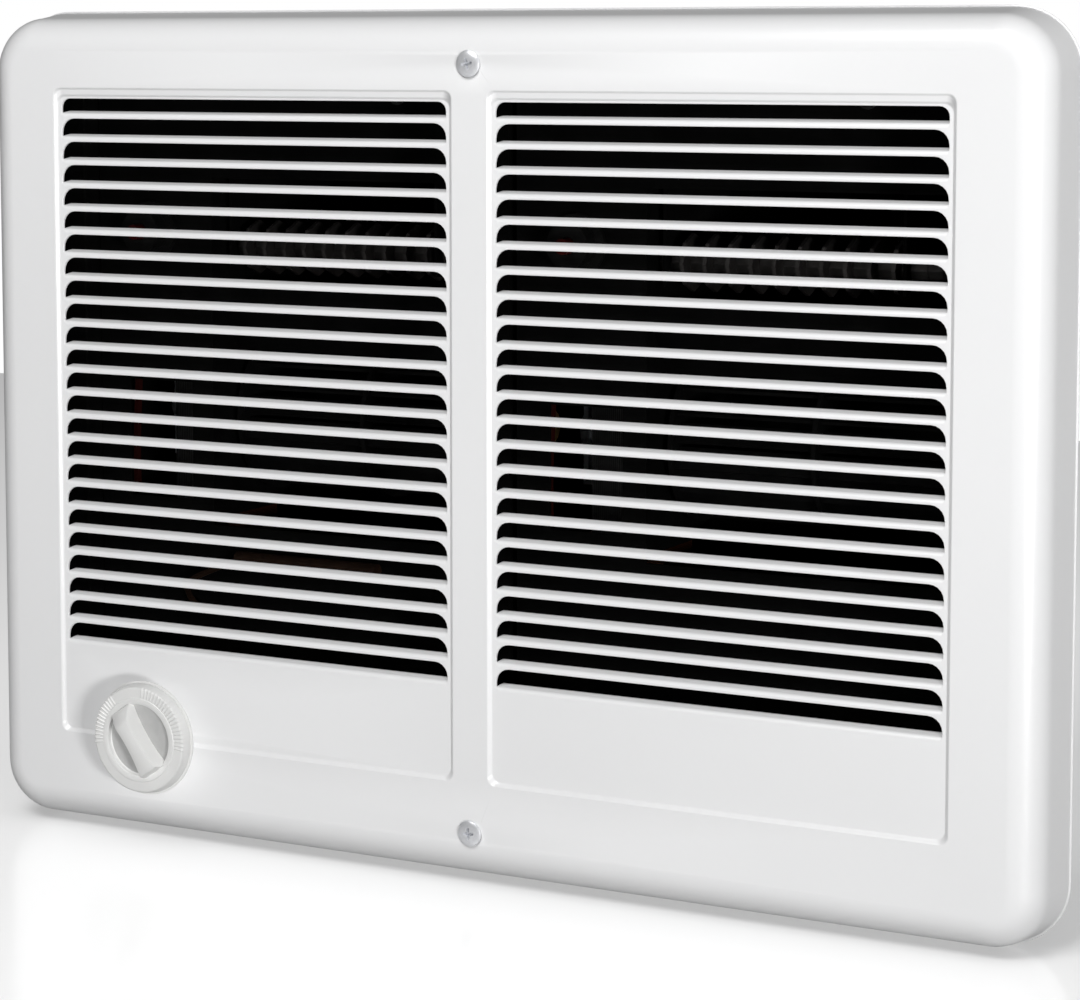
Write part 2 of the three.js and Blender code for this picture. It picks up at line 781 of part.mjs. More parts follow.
const elementStart = cheekOuter - housingSheet - terminalReach;
const elementBend = cheekInner - runSpacing / 2 - tubeRadius - 2;
const finsStart = cheekOuter + supportInset + supportFoot + 1;
const finsEnd = elementBend - supportFoot - 1;
const finCount = Math.floor((finsEnd - finSheet - finsStart) / finPitch) + 1;

// A hairpin of two finned runs, joined by a bend at the right.
function heatingElement(name) {
  const bendRadius = runSpacing / 2;
  const bendAt = elementBend;
  const runs = [0, 1].map((run) => {
    const profile = [
      [0, elementStart],
      [tubeRadius, elementStart],
    ];
    for (let fin = 0; fin < finCount; fin++) {
      const at = finsStart + fin * finPitch;
      profile.push([tubeRadius, at], [finRadius, at]);
      profile.push([finRadius, at + finSheet], [tubeRadius, at + finSheet]);
    }
    profile.push([tubeRadius, bendAt + 1], [0, bendAt + 1]);
    const points = profile.map(([radius, x]) => new THREE.Vector2(radius, x));
    const geometry = new THREE.LatheGeometry(points, 8).rotateZ(-Math.PI / 2);
    const made = solid(geometry.translate(0, elementY + run * runSpacing, elementZ));
    if (made.volume() < 0) throw new Error("element run is inside out");
    return made;
  });
  const bend = arc(0, 0, bendRadius, bendRadius, -90, 90, 6).map(([x, y]) => [
    bendAt + x,
    elementY + bendRadius + y,
    elementZ,
  ]);
  return mesh(name, joined(...runs, tube(bend, tubeRadius * 0.96, 8, 8)), elementSteel);
}

// A plate that hangs from the duct's top and carries both runs.
function elementSupport(name, x) {
  const top = ductTop - housingSheet - seatGap;
  const margin = tubeRadius + 4;
  const [y0, y1] = [elementY - margin, elementY + runSpacing + margin];
  const body = cut(
    joined(
      box(x, x + supportSheet, y0, y1, elementZ - margin, top),
      box(x, x + supportFoot, y0, y1, top - supportSheet, top),
    ),
    ...[0, 1].map((run) =>
      barX(tubeRadius + seatGap, x - 1, x + supportSheet + 1, elementY + run * runSpacing, elementZ, 12),
    ),
  );
  return mesh(name, body, zincSteel);
}

function limitSwitch(name) {
  const front = deckFront - limitFront;
  const body = cut(
    joined(
      barY(limitRadius, front, deckBack + limitBack, limitAcross, limitZ),
      barY(limitFlange, deckFront - seatGap - 2, deckFront - seatGap, limitAcross, limitZ),
    ),
    barY(buttonRadius + seatGap, front - 1, front + 6, limitAcross, limitZ, 12),
  );
  return mesh(name, body, blackPhenolic);
}

function resetButton(name) {
  const front = deckFront - limitFront;
  return mesh(name, barY(buttonRadius, front - buttonProud, front + 3, limitAcross, limitZ, 12), redPlastic);
}

function terminalBlock(name) {
  const front = deckBack + seatGap;
  const x1 = blockStart + blockLength;
  const [z0, z1] = [blockTop - blockHeight, blockTop];
  let body = box(blockStart, x1, front, front + blockDepth, z0, z1);
  for (let way = 1; way < 4; way++) {
    const x = blockStart + (blockLength * way) / 4;
    const groove = box(x - 0.6, x + 0.6, front + blockDepth - 3, front + blockDepth + 1, z0 - 1, z1 + 1);
    body = body.subtract(groove);
  }
  return mesh(name, body, blackPhenolic);
}

// Routes of the module's leads, from the module's left edge.
const leadY = deckBack + seatGap + blockDepth / 2;
const intoBlock = (share) => [
  [blockStart + blockLength * share, leadY, blockTop + 8],
  [blockStart + blockLength * share, leadY, blockTop + seatGap],
];
const limitRearY = deckBack + limitBack + seatGap;
const coilBottom = statorBottom - seatGap - coilWall - seatGap;
const terminalX = elementStart - seatGap;
const leadRoutes = {
  motor_lead: [
    [motorCentre, axisY, coilBottom],
    [motorCentre, axisY, coilBottom - 9],
    [motorCentre + 13, 44, blockTop + 10],
    [blockStart - 4, 30, blockTop + 10],
    ...intoBlock(0.8),
  ],
  supply_lead: [
    [limitAcross - 4, limitRearY, limitZ - 4],
    [limitAcross - 4, limitRearY + 7, limitZ - 5],
    [9, 17, 54],
    [6, 13, 30],
    [6, 13, blockTop + 42],
    [20, 13, blockTop + 16],
    [blockStart - 16, 13, blockTop + 12],
    ...intoBlock(0.2),
  ],
  element_lead: [
    [terminalX, elementY + runSpacing, elementZ],
    [terminalX - 8, elementY + runSpacing, elementZ],
    [12, 42, 58],
    [6, 27, 44],
    [6, 23, 20],
    [6, 23, blockTop + 48],
    [14, 27, blockTop + 24],
    [blockStart - 16, 25, blockTop + 18],
    ...intoBlock(0.5),
  ],
  link_lead: [
    [limitAcross + 4, limitRearY, limitZ + 3],
    [limitAcross + 4, limitRearY + 7, limitZ + 4],
    [terminalX - 6, elementY, elementZ],
    [terminalX, elementY, elementZ],
  ],
};
const leadMaterials = { motor_lead: blackInsulation, element_lead: redInsulation, link_lead: redInsulation };

function heaterModule(side) {
  const group = new THREE.Group();
  const node = (name) => side + "_" + name;
  group.add(
    deck(node("deck"), side === "left"),
    deckScrew(node("deck_screw_top"), deckScrewZ()),
    deckScrew(node("deck_screw_bottom"), -deckScrewZ()),
    blowerHousing(node("blower_housing")),
    blowerWheel(node("blower_wheel")),
    blowerShaft(node("blower_shaft")),
    endBearing(node("end_bearing")),
    motorRotor(node("motor_rotor")),
    motorStator(node("motor_stator")),
    motorCoil(node("motor_coil")),
    bearingBracket(node("bearing_bracket_outer"), -1),
    bearingBracket(node("bearing_bracket_inner"), 1),
    motorMount(node("motor_mount")),
    heatingElement(node("heating_element")),
    elementSupport(node("element_support_start"), cheekOuter + supportInset),
    elementSupport(node("element_support_end"), elementBend - supportFoot),
    limitSwitch(node("limit_switch")),
    resetButton(node("reset_button")),
    terminalBlock(node("terminal_block")),
  );
  for (const [name, route] of Object.entries(leadRoutes)) {
    const material = leadMaterials[name] || blackInsulation;
    group.add(mesh(node(name), tube(route, wireRadius, route.length * 2), material));
  }
  group.position.x = moduleStarts[side];
  return group;
}

// ---------------------------------------------------------------- thermostat and dial

const neckFront = deckFront - seatGap - nutThickness - 1;
const dialBackY = fieldFront - dialStandOff;
const dialFrontY = dialBackY - dialThickness;

function capillaryHole() {
  return [dialAcross - 5, dialZ + thermostatHeight + 16];
}

function thermostatBody() {
  const back = deckBack + seatGap + thermostatDepth;
  const [halfX, halfZ] = [thermostatWidth / 2, thermostatHeight / 2];
  const body = cut(
    joined(
      box(dialX - halfX, dialX + halfX, deckBack + seatGap, back, dialZ - halfZ, dialZ + halfZ),
      barY(neckRadius, neckFront, deckBack + 1, dialX, dialZ),
    ),
    barY(shaftRadius + runGap, neckFront - 1, back - 6, dialX, dialZ),
  );
  return mesh("thermostat_body", body, blackPhenolic);
}

function thermostatNut() {
  const back = deckFront - seatGap;
  const body = cut(
    barY(nutRadius, back - nutThickness, back, dialX, dialZ, 6),
    barY(neckRadius + seatGap, back - nutThickness - 1, back + 1, dialX, dialZ),
  );
  return mesh("thermostat_nut", body, screwSteel);
}

function thermostatShaft() {
  const body = barY(shaftRadius, dialFrontY + dishDepth + dialWall, deckBack + 12, dialX, dialZ);
  return mesh("thermostat_shaft", body, screwSteel);
}

function thermostatDial() {
  const dishY = dialFrontY + dishDepth;
  const faceY = dialFrontY - gripProud;
  const outer = turned(
    [
      [0, dishY],
      [dishRadius, dishY],
      [dishRadius, dialFrontY],
      [dialFrontRadius - 0.6, dialFrontY],
      [dialFrontRadius, dialFrontY + 0.6],
      [dialRearRadius, dialBackY],
      [dialRearRadius - dialWall, dialBackY],
      [dialFrontRadius - dialWall, dishY + dialWall],
      [0, dishY + dialWall],
    ],
    0,
    0,
    48,
  );
  const [halfLength, halfEnd, halfWaist] = [gripLength / 2, gripEnd / 2, gripWaist / 2];
  const sideCurve = (sign) =>
    Array.from({ length: 7 }, (_, i) => {
      const along = -halfLength + (gripLength * i) / 6;
      const width = halfWaist + (halfEnd - halfWaist) * (along / halfLength) ** 2;
      return [sign * width, along];
    });
  const grip = extrudeY([...sideCurve(1), ...sideCurve(-1).reverse()], faceY, dishY + dialWall / 2);
  const hub = barY(hubRadius, dishY + dialWall / 2, fieldFront + 2, 0, 0);
  const bore = barY(shaftRadius + seatGap, dishY + dialWall - seatGap, fieldFront + 3, 0, 0);
  const made = mesh("thermostat_dial", cut(joined(outer, grip, hub), bore), whitePlastic);
  made.rotation.y = -THREE.MathUtils.degToRad(gripAngle);
  made.position.set(dialX, 0, dialZ);
  return made;
}

function sensingBulb() {
  const start = moduleStarts.left + wheelStart + bulbInset;
  const y = deckFront - seatGap - bulbRadius;
  const [holeAcross, holeZ] = capillaryHole();
  const holeX = moduleStarts.left + holeAcross;
  const bodyTop = dialZ + thermostatHeight / 2 + seatGap;
  const route = [
    [start + 2, y, bulbZ],
    [start - 8, y - 1, bulbZ - 4],
    [holeX, y - 2, holeZ + 8],
    [holeX, deckFront, holeZ],
    [holeX, deckBack + 8, holeZ - 4],
    [holeX, deckBack + 14, bodyTop + 10],
    [holeX, deckBack + 14, bodyTop],
  ];
  const bulb = barX(bulbRadius, start, start + bulbLength, y, bulbZ, 12);
  const body = joined(bulb, tube(route, capillaryRadius, 18));
  return mesh("sensing_bulb", body, copperWinding);
}

// Leads that run between the modules' blocks and the thermostat.
function boxLeads() {
  const leftBlockEnd = moduleStarts.left + blockStart + blockLength + seatGap;
  const rightBlockStart = moduleStarts.right + blockStart - seatGap;
  const middle = blockTop - blockHeight / 2;
  const thermostatRear = deckBack + 2 * seatGap + thermostatDepth;
  const blockWay = moduleStarts.left + blockStart + blockLength * 0.25;
  const blockBottom = blockTop - blockHeight - seatGap;
  const jumper = [
    [leftBlockEnd, leadY, middle],
    [leftBlockEnd + 3, leadY, middle],
    [leftBlockEnd + 12, leadY + 4, middle],
    [-20, 36, middle - 3],
    [20, 36, middle - 3],
    [rightBlockStart - 12, leadY + 4, middle],
    [rightBlockStart - 3, leadY, middle],
    [rightBlockStart, leadY, middle],
  ];
  const thermostat = [
    [dialX, thermostatRear, dialZ],
    [dialX, thermostatRear + 8, dialZ],
    [dialX + 22, thermostatRear + 6, dialZ - 4],
    [blockWay - 6, leadY + 6, blockBottom - 9],
    [blockWay, leadY, blockBottom - 6],
    [blockWay, leadY, blockBottom],
  ];
  return [
    mesh("jumper_lead", tube(jumper, wireRadius, 20), blackInsulation),
    mesh("thermostat_lead", tube(thermostat, wireRadius, 18), redInsulation),
  ];
}

// ---------------------------------------------------------------- assembly

const heater = new THREE.Group();
heater.add(
  frontCover(),
  coverScrew("cover_screw_top", coverScrewZ),
  coverScrew("cover_screw_bottom", -coverScrewZ),
  wallCan(),
  groundScrew(),
  heaterModule("left"),
  heaterModule("right"),
  thermostatBody(),
  thermostatNut(),
  thermostatShaft(),
  thermostatDial(),
  sensingBulb(),
  ...boxLeads(),
);

export default heater;
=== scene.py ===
import json
import math

import bmesh
import bpy
from mathutils import Matrix, Vector


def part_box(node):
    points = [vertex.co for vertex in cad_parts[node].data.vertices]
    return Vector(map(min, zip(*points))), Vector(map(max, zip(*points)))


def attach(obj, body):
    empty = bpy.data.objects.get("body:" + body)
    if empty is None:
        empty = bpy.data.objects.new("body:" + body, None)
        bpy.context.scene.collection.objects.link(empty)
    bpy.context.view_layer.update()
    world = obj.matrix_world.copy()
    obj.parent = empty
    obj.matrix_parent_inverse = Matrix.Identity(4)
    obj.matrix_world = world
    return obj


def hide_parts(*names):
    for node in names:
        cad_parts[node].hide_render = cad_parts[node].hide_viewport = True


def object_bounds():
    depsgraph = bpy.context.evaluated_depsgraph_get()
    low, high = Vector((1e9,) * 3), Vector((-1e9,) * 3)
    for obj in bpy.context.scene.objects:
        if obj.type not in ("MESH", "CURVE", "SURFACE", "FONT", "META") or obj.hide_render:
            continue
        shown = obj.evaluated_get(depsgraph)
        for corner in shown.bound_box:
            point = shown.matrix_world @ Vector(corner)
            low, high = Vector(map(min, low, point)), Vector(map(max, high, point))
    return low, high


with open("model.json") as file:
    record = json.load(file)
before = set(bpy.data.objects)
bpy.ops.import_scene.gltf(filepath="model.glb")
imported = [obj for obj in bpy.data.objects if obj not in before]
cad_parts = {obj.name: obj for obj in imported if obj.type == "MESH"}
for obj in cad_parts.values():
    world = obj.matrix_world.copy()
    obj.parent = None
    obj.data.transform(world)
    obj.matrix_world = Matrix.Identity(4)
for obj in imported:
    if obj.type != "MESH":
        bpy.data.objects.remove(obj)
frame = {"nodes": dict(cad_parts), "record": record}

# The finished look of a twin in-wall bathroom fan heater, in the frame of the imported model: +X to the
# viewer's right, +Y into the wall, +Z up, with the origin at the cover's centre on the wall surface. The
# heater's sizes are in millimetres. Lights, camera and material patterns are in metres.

MM = 0.001
CAD_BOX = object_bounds()

# ---------------------------------------------------------------- sizes, in millimetres

SMOOTH_ANGLE = 35.0  # faces that meet at less than this are shaded smooth
HOLE_SIDES = 24

# cover, as in the solid model
SHEET = 1.0
COVER_CORNER = 22.0
COVER_EDGE = 12.0
COVER_ROUND_STEPS = 12  # of its corners and of its rolled edge
COVER_FLARE = 2.4
# The rim's narrow outward hem, from the wall surface on: inward, place, tilt of the surface in degrees.
HEM_OUTSIDE = ((0.0, 0.0, 0), (0.0, -0.3, 10), (0.05, -0.42, 45), (0.15, -0.47, 75), (0.35, -0.5, 75),
               (0.5, -0.62, 40), (0.55, -0.95, 0))
HEM_INSIDE = ((0.3, 0.0, 0), (0.4, -0.5, 0), (0.55, -0.95, 0))
FIELD_SIDE_INSET = 32.7
FIELD_TOP_INSET = 29.4
FIELD_BOTTOM_INSET = 35.9
FIELD_INNER_X = 6.5
FIELD_RECESS = 1.2
FIELD_SLOPE = 1.8
FIELD_CORNER = 3.0
FIELD_CORNER_STEPS = 5
FIELD_BACK_GROWTH = 0.7  # how far the border's back lies outside its front, in thicknesses of the sheet
# The border's rings: share of the way in, place of its top side below the field's top edge, slope there.
FIELD_STEP = ((0.0, -1.8, 0.0), (0.17, -1.5, 0.75), (0.33, -1.15, 0.9), (0.48, -0.8, 0.2), (0.52, 0.7, 0.2),
              (0.67, 1.1, 0.9), (0.83, 1.45, 0.75), (1.0, 1.8, 0.0))
SLOT_COUNT = 24
SLOT_PITCH = 8.45
SLOT_HEIGHT = 6.35
FIRST_SLOT_HEIGHT = 5.2
FIRST_SLOT_INSET = 7.5
SLOT_SIDE_MARGIN = 3.0
SLOT_CORNER = 4.9
FIRST_SLOT_CORNER = 3.3
SLOT_CORNER_STEPS = 5
SCREW_INSET = 18.8
SCREW_HOLE = 2.6
DIAL_HOLE = 8.0

# The sheet round a slot, from the field's face to its back, as pairs: how far outside the slot, how deep.
SLOT_EDGE = ((0.32, 0.0), (0.15, 0.03), (0.04, 0.13), (0.0, 0.3), (0.0, 0.6), (0.0, 0.85), (0.0, 0.93),
             (0.03, 1.0), (0.1, 1.0), (0.16, 1.0), (0.22, 1.0), (0.28, 1.0))
# The same along the lower edge, where the sheet curls back into a lip.
SLOT_LIP = ((1.62, 0.0), (1.12, 0.13), (0.6, 0.42), (0.2, 0.86), (0.02, 1.4), (-0.3, 2.6), (-0.56, 3.5),
            (-0.7, 4.0), (0.1, 4.0), (0.55, 2.6), (1.15, 1.45), (1.6, 1.0))
LIP_TAPER = 0.9  # length along which a lip rises from the slot's corner
LIP_MIDWAY = 0.35  # share of that length at which half of the lip has risen
SHARP_CORNER_REACH = 0.7  # share of an edge's reach that goes sideways and down at a slot's lower corners

# dial
DIAL_PLACE = (-129.5, -111.2)
DIAL_FACE = -37.8  # the front of its ring
DIAL_STEPS = 320
# From the middle of the dish outwards and round to the shaft hole: radius, place behind the ring's face.
DIAL_PROFILE = ((0.0, 2.0), (6.0, 2.0), (12.0, 2.0), (12.7, 1.85), (13.0, 1.5), (13.05, 0.4), (13.15, 0.12),
                (13.4, 0.0), (14.6, 0.0), (15.2, 0.02), (15.4, 0.22), (15.7, 0.25), (18.4, 0.25),
                (18.9, 0.3), (19.15, 0.5), (19.3, 0.9), (19.75, 2.8), (20.05, 4.0), (20.0, 4.15),
                (19.8, 4.2), (19.8, 4.3), (20.5, 4.33), (20.75, 4.42), (20.8, 4.6), (20.75, 4.85),
                (20.5, 5.0), (19.2, 5.0), (18.9, 4.7), (17.6, 4.1), (17.3, 3.9), (7.0, 3.9), (6.4, 4.2),
                (6.2, 4.8), (6.2, 15.6), (5.8, 16.0), (3.5, 16.0), (3.1, 15.6), (3.1, 4.2), (0.0, 4.2))
RIB_RINGS = (11, 15)  # the profile's points from which to which the ribs reach
RIB_SPACING = 4  # steps of the disc from rib to rib
RIB_HEIGHT = 0.3
RIB_OVERHANG = 0.5  # share of its height by which a rib also stands out at the disc's edge
RIB_SECTORS = ((4, 98), (262, 322))  # degrees clockwise from the top, as the dial stands at rest
GRIP_LENGTH = 26.0
GRIP_END = 8.4  # width there
GRIP_WAIST = 5.6
GRIP_PROUD = 4.5
GRIP_ROOT = 2.4  # its foot's place behind the ring's face, inside the disc
GRIP_DRAFT = 0.55
GRIP_ANGLE = 35.0
# From the steep end to the sloped one: place along the grip, how far its top lies below its highest there.
GRIP_STATIONS = ((-13.0, 3.4), (-12.75, 1.5), (-12.3, 0.45), (-11.7, 0.1), (-10.8, 0.0), (-8.5, 0.0),
                 (-6.0, 0.0), (-3.5, 0.0), (-1.0, 0.0), (1.5, 0.0), (4.0, 0.0), (6.0, 0.0), (7.2, 0.08),
                 (8.0, 0.4), (9.2, 1.2), (10.8, 2.35), (12.0, 3.25), (12.6, 3.9), (13.0, 4.8))
GRIP_SHOULDER = ((0.02, 0.55), (-0.12, 0.2), (-0.55, 0.0))  # its rounded edge: outwards, below the top

# cover screws
HEAD_RADIUS = 4.55
HEAD_HEIGHT = 1.5
HEAD_SIDES = 48
HEAD_RIM = 0.35  # height of the rim that the crown stands on
HEAD_RIM_PROFILE = ((0.0, 0.3), (0.05, 0.08), (0.2, 0.0))  # inside the head's radius, above its underside
CROWN_STEPS = 6
CROWN_POWER = 0.9  # makes the crown a little fuller than an ellipse
SHANK_RADIUS = 2.1
SHANK_SIDES = 24
SHANK_OVERLAP = 0.4  # into the head
THREAD_PITCH = 0.8
THREAD_DEPTH = 0.45
THREAD_STEPS = 6  # rings in one turn
THREAD_STEEPNESS = 3.2  # of its flanks
TIP_LENGTH = 1.2
TIP_SHARE = 0.7  # of the radius, at the shank's end
TIP_GROWTH = 0.25  # of the radius, more for each millimetre from there
RECESS = ((2.45, 0.62, -0.6), (2.05, 0.5, 0.1), (0.95, 0.36, 2.2))  # half length, half width, depth
RECESS_TURNS = {"cover_screw_top": 12, "cover_screw_bottom": 3}  # degrees

# wall can
CAN_HALF = (177.5, 127.0)
CAN_BACK = 91.0
CAN_SHEET = 1.0
CAN_CORNER = 2.5
CAN_CORNER_STEPS = 4
CAN_BEND = 2.5  # the outer radius round its back
CAN_BEND_STEPS = 4
CAN_SMOOTH_ANGLE = 30.0
MOUTH_CORNER = 1.7
FLANGE_HALF = (189.5, 139.0)
FLANGE_CORNER = 5.0
COVER_SCREW_Z = 132.2
SCREW_CLEARANCE = 2.5
# Places of the holes through the side walls: behind the wall surface, height.
STUD_HOLES = ((15.0, 97.0), (62.0, 97.0), (15.0, -97.0), (62.0, -97.0))
STUD_HOLE_RADIUS = 2.5
STUD_DRILL = (-200.0, 200.0)  # the cutter's ends, outside both side walls
GROUND_HOLE = (140.7, 54.6)  # through the bottom: across, behind the wall surface
GROUND_DRILL = (-130.0, -120.0)  # the cutter's ends, below and above the bottom
# A raised round blank with a groove, as a punched knockout has: radius, place outside the wall.
KNOCKOUT_PROFILE = ((0.0, -0.5), (11.0, -0.5), (11.0, 0.45), (10.85, 0.6), (7.8, 0.6), (7.7, 0.4),
                    (7.3, 0.4), (7.2, 0.6), (0.0, 0.6))
KNOCKOUT_SIDES = 48
KNOCKOUT_X = 88.75
KNOCKOUT_Z = -63.5
KNOCKOUT_Y = 63.7
TAB_CENTRES = (-45.5, 131.5)
TAB_SIZE = (24.0, 10.0)
TAB_FRONT = 8.3
TAB_BEVEL = 0.2
LAP_WIDTH = 13.0
LAP_SHEET = 0.8
LAP_SINK = 0.2  # into the wall that it lies on
LAP_INSET = 1.2  # from the top or bottom wall's outside
LAP_SPAN = (6.0, 86.0)  # behind the wall surface
LAP_BEVEL = 0.3
WELDS = (20.0, 46.0, 72.0)  # behind the wall surface
WELD_SIDES = 20
# The dimple of a spot weld and its low rim: radius, place outside the lap.
WELD_PROFILE = ((0, -0.5), (2.4, -0.5), (2.4, 0.1), (2.1, 0.22), (1.5, 0.1), (0, 0.05))

# ---------------------------------------------------------------- light

KEY_PLACE = (1.5, -1.27, -0.1)
KEY_SIZE = 0.32
KEY_POWER = 29
TOP_PLACE = (0.0, -1.3, 1.5)
TOP_SIZE = 0.9
TOP_POWER = 29
BACK_PLACE = (-0.9, 1.5, 0.5)
BACK_SIZE = 1.2
BACK_POWER = 25
FLOOR_LIGHT_PLACE = (0.2, -0.3, 1.7)
FLOOR_LIGHT_TARGET = (0.1, -0.2, 0.0)
FLOOR_LIGHT_SIZE = 2.4
FLOOR_LIGHT_POWER = 30
FLOOR_REACH = 1.2
FLOOR_GAP = 0.0005  # below the heater
FLOOR_ROUGHNESS = (0.14, 0.2)
FLOOR_SEEN = (0.55, 0.37)  # albedo and glow, as the camera sees them
FLOOR_BOUNCED = (0.28, 0.1)  # and as they light the heater
WORLD_HEIGHTS = (0.24, 0.1)  # strength at the horizon and overhead
WORLD_HEIGHT_SPAN = (0.1, 0.8)  # the Z of the directions between which it changes
WORLD_SIDES = (0.55, 0.8)  # the share of it from the left and from the right
WORLD_SIDE_SPAN = (-0.8, 0.5)  # the X of the directions between which that changes

# ---------------------------------------------------------------- camera

IMAGE_WIDTH = 1080
IMAGE_HEIGHT = 1000
FOCAL_PIXELS = 2905
AXIS_COLUMN = 536  # image place of the optical axis
AXIS_ROW = 306
CAMERA_PLACE = (0.4716, -0.8869, 0.136)
CAMERA_YAW = 27.36  # degrees, as is the pitch
CAMERA_PITCH = -4.99


def add_camera():
    data = bpy.data.cameras.new("camera")
    data.sensor_width = 36
    data.lens = FOCAL_PIXELS / IMAGE_WIDTH * data.sensor_width
    data.shift_x = (IMAGE_WIDTH / 2 - AXIS_COLUMN) / IMAGE_WIDTH
    data.shift_y = -(IMAGE_HEIGHT / 2 - AXIS_ROW) / IMAGE_WIDTH
    camera = bpy.data.objects.new("camera", data)
    bpy.context.scene.collection.objects.link(camera)
    camera.location = CAMERA_PLACE
    camera.rotation_euler = (math.radians(90 + CAMERA_PITCH), 0, math.radians(CAMERA_YAW))
    bpy.context.scene.camera = camera


# ---------------------------------------------------------------- materials

ZINC_CRYSTALS = 140  # in a metre
WAVE_PERIOD = 0.314  # a wave texture's bands lie this far apart at a scale of 1
PAINTED_SHADE_FINISHES = {"element_support": "black_enamel", "sensing_bulb": "dull_copper"}  # by a part of the name; painted shade: near-black stand-ins that keep these parts dark behind the slots


def principled(name):
    made = bpy.data.materials.new(name)
    made.use_nodes = True
    tree = made.node_tree
    shader = tree.nodes["Principled BSDF"]
    return made, tree, shader


def coordinates(tree):
    return tree.nodes.new("ShaderNodeTexCoord").outputs["Object"]


def noise(tree, vector, size, detail=2.0, roughness=0.5):
    """Noise whose features are about size metres across."""
    node = tree.nodes.new("ShaderNodeTexNoise")
    node.inputs["Scale"].default_value = 1 / size
    node.inputs["Detail"].default_value = detail
    node.inputs["Roughness"].default_value = roughness
    tree.links.new(vector, node.inputs["Vector"])
    return node.outputs["Fac"]


def between(tree, factor, low, high, start=0.3, end=0.7):
    """low to high as factor goes from start to end, for colours or numbers."""
    if isinstance(low, (int, float)):
        node = tree.nodes.new("ShaderNodeMapRange")
        for socket, value in (("From Min", start), ("From Max", end), ("To Min", low), ("To Max", high)):
            node.inputs[socket].default_value = value
        tree.links.new(factor, node.inputs["Value"])
        return node.outputs["Result"]
    node = tree.nodes.new("ShaderNodeValToRGB")
    node.color_ramp.elements[0].position = start
    node.color_ramp.elements[0].color = (*low, 1)
    node.color_ramp.elements[1].position = end
    node.color_ramp.elements[1].color = (*high, 1)
    tree.links.new(factor, node.inputs["Fac"])
    return node.outputs["Color"]


def bump(tree, shader, height, strength, distance):
    node = tree.nodes.new("ShaderNodeBump")
    node.inputs["Strength"].default_value = strength
    node.inputs["Distance"].default_value = distance
    tree.links.new(height, node.inputs["Height"])
    tree.links.new(node.outputs["Normal"], shader.inputs["Normal"])


def surface(name, low, high, rough, metal=0.0, patch=0.02, grain=0.0006, relief=0.00002, strength=0.4,
            specular=0.5):
    """A finish that varies from low to high in soft patches, with a fine grain in its relief and gloss."""
    made, tree, shader = principled(name)
    shader.inputs["Specular IOR Level"].default_value = specular
    place = coordinates(tree)
    tree.links.new(between(tree, noise(tree, place, patch, 3), low, high), shader.inputs["Base Color"])
    tree.links.new(between(tree, noise(tree, place, patch / 3), *rough), shader.inputs["Roughness"])
    shader.inputs["Metallic"].default_value = metal
    bump(tree, shader, noise(tree, place, grain, 3, 0.6), strength, relief)
    return made


def enamel(name):
    """Smooth white powder coat: barely uneven in colour, with a long, shallow orange peel."""
    made, tree, shader = principled(name)
    place = coordinates(tree)
    cloud = noise(tree, place, 0.12, 1)
    tree.links.new(between(tree, cloud, (0.775, 0.776, 0.78), (0.795, 0.796, 0.8), 0.2, 0.8),
                   shader.inputs["Base Color"])
    shader.inputs["Roughness"].default_value = 0.3
    shader.inputs["Coat Weight"].default_value = 0.2
    shader.inputs["Coat Roughness"].default_value = 0.15
    bump(tree, shader, noise(tree, place, 0.005, 1), 0.05, 0.00002)
    return made


def galvanised(name):
    """Zinc coated sheet: large, faint crystals and a fine rolled grain."""
    made, tree, shader = principled(name)
    place = coordinates(tree)
    crystals = tree.nodes.new("ShaderNodeTexVoronoi")
    crystals.inputs["Scale"].default_value = ZINC_CRYSTALS
    tree.links.new(place, crystals.inputs["Vector"])
    split = tree.nodes.new("ShaderNodeSeparateColor")
    tree.links.new(crystals.outputs["Color"], split.inputs["Color"])
    colour = between(tree, split.outputs["Red"], (0.4, 0.42, 0.44), (0.56, 0.58, 0.6), 0.0, 1.0)
    tree.links.new(colour, shader.inputs["Base Color"])
    tree.links.new(between(tree, split.outputs["Green"], 0.34, 0.5, 0.0, 1.0), shader.inputs["Roughness"])
    shader.inputs["Metallic"].default_value = 0.9
    bump(tree, shader, noise(tree, place, 0.0012, 4), 0.25, 0.00003)
    return made


def layered(name, low, high, pitch, along, metal, rough, relief):
    """Thin layers or turns that repeat every pitch metres along the X, Y or Z axis."""
    made, tree, shader = principled(name)
    place = coordinates(tree)
    wave = tree.nodes.new("ShaderNodeTexWave")
    wave.bands_direction = along
    wave.inputs["Scale"].default_value = WAVE_PERIOD / pitch
    wave.inputs["Distortion"].default_value = 0.3
    tree.links.new(place, wave.inputs["Vector"])
    tree.links.new(between(tree, wave.outputs["Fac"], low, high, 0.1, 0.9), shader.inputs["Base Color"])
    tree.links.new(between(tree, noise(tree, place, 0.004), *rough), shader.inputs["Roughness"])
    shader.inputs["Metallic"].default_value = metal
    bump(tree, shader, wave.outputs["Fac"], 0.6, relief)
    return made


def grey(value):
    return value, value, value


